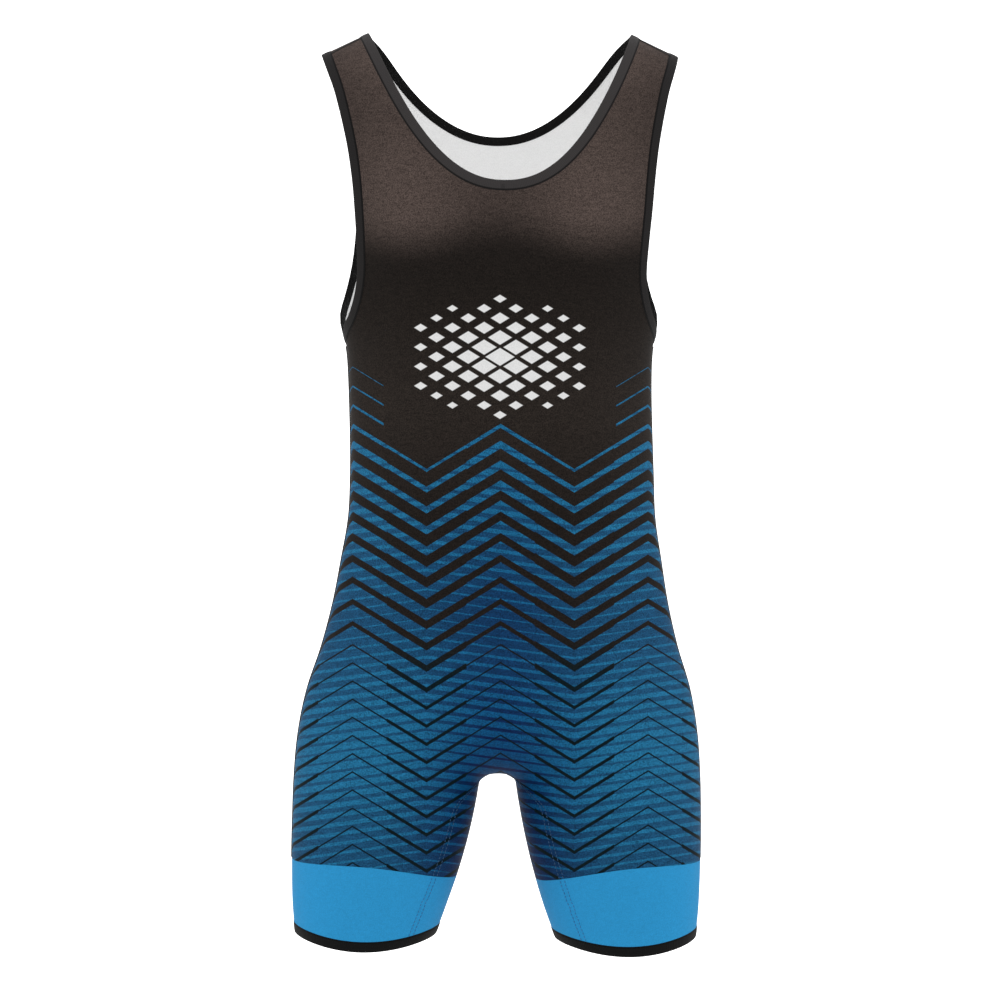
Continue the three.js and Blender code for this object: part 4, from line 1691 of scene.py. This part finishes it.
@dataclass
class SeamThread:
    """The overlocked thread of a seam: a round dark line, half sunk between the two pieces."""

    form: BodyForm
    radius: float = 0.95
    sides: int = 8

    def build(self, name: str, lines: Sequence[Array], material: Material) -> Piece:
        """One piece with a thread along each line of the symmetric form.

        Args:
            name: the piece's name.
            lines: points of each thread.
            material: its finish.

        Returns:
            The piece.
        """
        points: list[Array] = []
        faces: Faces = []
        for line in lines:
            along = np.gradient(line, axis=0)
            along /= np.linalg.norm(along, axis=1, keepdims=True)
            normal = self.form.outward(line)
            across = np.cross(along, normal)
            start, sides, last = sum(map(len, points)), self.sides, len(line) - 1
            angles = 2 * math.pi * np.arange(sides) / sides
            ring = normal[:, None] * np.sin(angles)[:, None] + across[:, None] * np.cos(angles)[:, None]
            points.append((line[:, None] + ring * self.radius).reshape(-1, 3))
            for i in range(last):
                for k in range(sides):
                    a, b = start + i * sides + k, start + i * sides + (k + 1) % sides
                    faces.append((a, b, b + sides, a + sides))
            faces.append(tuple(start + k for k in reversed(range(sides))))
            faces.append(tuple(start + last * sides + k for k in range(sides)))
        return make_object(name, self.form.stand(np.concatenate(points)), faces, [material])


@dataclass
class Singlet:
    """The whole garment."""

    form: BodyForm = field(default_factory=BodyForm)
    printed: PrintedKnit = PrintedKnit()
    band: PlainKnit = PlainKnit()
    reverse: PlainKnit = PlainKnit(name="reverse_knit", colour="#fafafa", contrast=0.04)
    binding: EdgeStrip = EdgeStrip()
    neck_binding: EdgeStrip = EdgeStrip(name="neck_binding", colour="#373434")
    elastic: EdgeStrip = EdgeStrip(name="hem_elastic", colour="#080909", rib=2.0)
    dark_thread: Thread = Thread()
    light_thread: Thread = Thread(name="inseam_thread", colour="#234d74")
    band_thread: Thread = Thread(name="band_thread", colour="#1d6da6")
    inseam_apart: float = 2.6
    side_apart: float = 1.6
    side_top_z: float = -280.0
    stitch_lift: float = 0.1

    def __post_init__(self) -> None:
        """Draws the cutting lines and makes the finishes."""
        self.pattern = Pattern(self.form)
        self.reverse_finish = self.reverse.material()
        self.binding_finish = self.binding.material()
        self.neck_finish = self.neck_binding.material()
        self.elastic_finish = self.elastic.material()
        self.pieces: list[Piece] = []

    def keep(self, piece: Piece, node: str | None = None) -> Piece:
        """Puts a piece on the body, in place of a node where it stands for one.

        Args:
            piece: the piece.
            node: the node it stands for, if any.

        Returns:
            The piece.
        """
        if node is not None:
            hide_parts(node)
        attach(piece, "root")
        self.pieces.append(piece)
        LOG.info("%s: %d faces", piece.name, len(piece.data.polygons))
        return piece

    def panels(self) -> None:
        """The printed front and back, each one piece of cloth."""
        shell = Shell(self.form)
        for face, node, has_emblem in ((Face.FRONT, "front_panel", True), (Face.BACK, "back_panel", False)):
            left = self.pattern.panel_rows(face)
            right = mirrored(left)[:, ::-1]
            finish = self.printed.material(has_emblem)
            piece = shell.build(f"{node}_cloth", [left, right], finish, self.reverse_finish)
            self.keep(piece, node)
            CUTS[node].declare(piece)

    def bands(self) -> None:
        """The four halves of the leg bands."""
        shell = Shell(self.form)
        finish = self.band.material()
        for face, word in ((Face.FRONT, "front"), (Face.BACK, "back")):
            left = self.pattern.band_grid(face)
            for grid, side in ((left, "left"), (mirrored(left)[:, ::-1], "right")):
                piece = shell.build(f"band_{word}_{side}_cloth", [grid], finish, self.reverse_finish)
                self.keep(piece, f"band_{word}_{side}")
                CUTS[f"band_{word}"].declare(piece)

    def strips(self) -> None:
        """The bindings of the neck, the armholes and the hems."""
        pattern, strip = self.pattern, Strip(self.form)
        half = np.concatenate([pattern.neck_front_at[:-1], pattern.neck_crest_at, pattern.neck_back_at[1:]])
        groove, edge = (points_at(line, half) for line in (pattern.neck.groove, pattern.neck.edge))
        whole = [np.concatenate([line, mirrored(line[1:-1])[::-1]]) for line in (groove, edge)]
        width = pattern.binding_width
        piece = strip.build("neck_binding_cloth", *whole, width, self.neck_finish, False)
        self.keep(piece, "neck_binding")
        front_at = [pattern.arm_front_chest_at[:-1], pattern.arm_front_at[:-1], pattern.arm_crest_at]
        back_at = [pattern.arm_back_at[1:], pattern.arm_back_chest_at[1:-1]]
        loop = np.concatenate([*front_at, *back_at])
        groove, edge = (points_at(line, loop) for line in (pattern.armhole.groove, pattern.armhole.edge))
        hem_line = HEM.moved_up(pattern.hem_width)
        front = pattern.leg_angles(hem_line, Face.FRONT, 0)[::-1]
        back = pattern.leg_angles(hem_line, Face.BACK, 0)
        angles = np.concatenate([front, back[1:-1]])
        hem = [pattern.leg_place(line, angles) for line in (hem_line, HEM)]
        for side, flip in (("left", False), ("right", True)):
            name = f"armhole_binding_{side}"
            piece = strip.build(f"{name}_cloth", groove, edge, width, self.binding_finish, flip)
            self.keep(piece, name)
            name = f"hem_binding_{side}"
            piece = strip.build(f"{name}_cloth", *hem, pattern.hem_width, self.elastic_finish, flip)
            self.keep(piece, name)

    def inseam_line(self, aside: float, in_band: bool) -> Array:
        """A line beside the left inseam on the front of the thigh, above the band or on it.

        Args:
            aside: distance from the inseam along the cloth.
            in_band: whether the line is the band's part.

        Returns:
            The points of the line.
        """
        pattern = self.pattern
        hem_top = HEM.moved_up(pattern.hem_width + 1)
        if in_band:
            edges = [hem_top.toward(BAND_TOP.moved_up(-1), t) for t in np.linspace(0, 1, 12)]
        else:
            edges = [pattern.leg_edge(t) for t in np.linspace(0, 0.9, 30)]
        line = []
        for edge in edges:
            run = pattern.leg_run(edge)
            line.append(points_at(run.points, run.index(pattern.inseam_distance(edge, run) + aside)))
        return np.array(line)

    def side_line(self, aside: float) -> Array:
        """A line beside the left side seam, behind it where aside is over 0.

        Args:
            aside: distance behind the side seam.

        Returns:
            The points of the line.
        """
        z = np.linspace(self.side_top_z, BAND_TOP.outer_z, 140)
        x = self.form.half_width(z)
        return self.form.settle(np.stack([x, aside + 0 * x, z], axis=1))

    def stitching(self) -> None:
        """Rows of stitches beside the inseams and side seams, and the threads in the seams."""
        row = StitchRow(self.form)
        rows = (-self.inseam_apart, self.inseam_apart)
        inseams = both_sides([self.inseam_line(aside, False) for aside in rows])
        on_bands = both_sides([self.inseam_line(aside, True) for aside in rows])
        sides = both_sides([self.side_line(aside) for aside in (-self.side_apart, self.side_apart)])
        light, on_band = self.light_thread.material(), self.band_thread.material()
        dark, lift = self.dark_thread.material(), self.stitch_lift
        self.keep(row.build("inseam_stitches", inseams, lift, light))
        self.keep(row.build("band_inseam_stitches", on_bands, lift, on_band))
        self.keep(row.build("side_seam_stitches", sides, lift, dark))
        pattern = self.pattern
        start = points_at(pattern.neck.panel, pattern.neck_front_at[-1:])[0]
        end = points_at(pattern.armhole.panel, pattern.arm_front_at[-1:])[0]
        shoulders = both_sides([pattern.straight_row(start, end, Face.FRONT, 0)])
        threads = SeamThread(self.form)
        self.keep(threads.build("shoulder_seam_threads", shoulders, dark))
        side_seams = both_sides([self.side_line(0)])
        self.keep(threads.build("side_seam_threads", side_seams, dark))


@dataclass(frozen=True)
class Softbox:
    """A square studio light that faces the chest: its place and size in metres, and its power in watts."""

    name: str
    at: tuple[float, float, float]
    size: float
    power: float

    def build(self) -> None:
        """Hangs the light."""
        lamp = bpy.data.lights.new(self.name, "AREA")
        lamp.shape = "SQUARE"
        lamp.size = self.size
        lamp.energy = self.power
        holder = bpy.data.objects.new(self.name, lamp)
        holder.location = self.at
        target = Vector(CHEST)
        holder.rotation_euler = (target - Vector(self.at)).to_track_quat("-Z", "Y").to_euler()
        bpy.context.scene.collection.objects.link(holder)


@dataclass
class Studio:
    """A pale floor, a white backdrop, soft lights, and the camera a little to the right side."""

    distance: float = 2.4
    turn: float = math.radians(1.9)
    middle_z: float = -0.4235
    frame_width: float = 0.934
    floor_z: float = -1.3
    world: float = 0.72
    lights: tuple[Softbox, ...] = (
        Softbox("key_light", (0.0, -1.6, 2.0), 1.5, 14),
        Softbox("left_light", (-2.2, -0.7, 0.1), 1.3, 10),
        Softbox("right_light", (2.2, -0.7, 0.1), 1.3, 10),
        Softbox("back_light", (0.3, 2.0, 1.8), 1.4, 8),
    )

    def plane(self, name: str, corners: Sequence[tuple[float, float, float]], material: Material) -> None:
        """A flat piece of the stage.

        Args:
            name: the piece's name.
            corners: its four corners in metres.
            material: its finish.
        """
        mesh = bpy.data.meshes.new(name)
        mesh.from_pydata(list(corners), [], [(0, 1, 2, 3)])
        mesh.materials.append(material)
        piece = bpy.data.objects.new(name, mesh)
        bpy.context.scene.collection.objects.link(piece)

    def stage(self) -> None:
        """The floor, and a lit white backdrop well behind the garment."""
        paper = new_material("floor_paper")
        finish_material(paper, {"Base Color": linear("#f0f0ee"), "Roughness": 0.9}, None, 0)
        r, z = 2.0, self.floor_z
        self.plane("floor", [(-r, -r, z), (r, -r, z), (r, r, z), (-r, r, z)], paper)
        lit = new_material("backdrop_paper")
        white = linear(WHITE)
        shader = {"Base Color": white, "Emission Color": white, "Emission Strength": 1.0}
        finish_material(lit, shader, None, 0)
        y, w = 3.4, 1.45
        self.plane("backdrop", [(-w, y, -1.75), (w, y, -1.75), (w, y, 0.95), (-w, y, 0.95)], lit)
        world = bpy.data.worlds.new("studio")
        world.use_nodes = True
        world.node_tree.nodes["Background"].inputs["Color"].default_value = white
        world.node_tree.nodes["Background"].inputs["Strength"].default_value = self.world
        bpy.context.scene.world = world

    def build(self) -> None:
        """Sets the stage, the lights and the camera."""
        self.stage()
        for light in self.lights:
            light.build()
        lens = bpy.data.cameras.new("camera")
        lens.sensor_width = 36
        lens.lens = 36 * self.distance / self.frame_width
        camera = bpy.data.objects.new("camera", lens)
        away_x, away_y = math.sin(self.turn), math.cos(self.turn)
        camera.location = (-self.distance * away_x, -self.distance * away_y, self.middle_z)
        camera.rotation_euler = (math.pi / 2, 0, -self.turn)
        bpy.context.scene.collection.objects.link(camera)
        bpy.context.scene.camera = camera
        bpy.context.scene.view_settings.view_transform = "Standard"


def main() -> None:
    """Builds the garment and the studio."""
    logging.basicConfig(level=logging.INFO, format="%(name)s: %(message)s")
    singlet = Singlet()
    singlet.panels()
    singlet.bands()
    singlet.strips()
    singlet.stitching()
    Studio().build()
    LOG.info("pieces: %d", len(singlet.pieces))


if __name__ == "__main__":
    main()
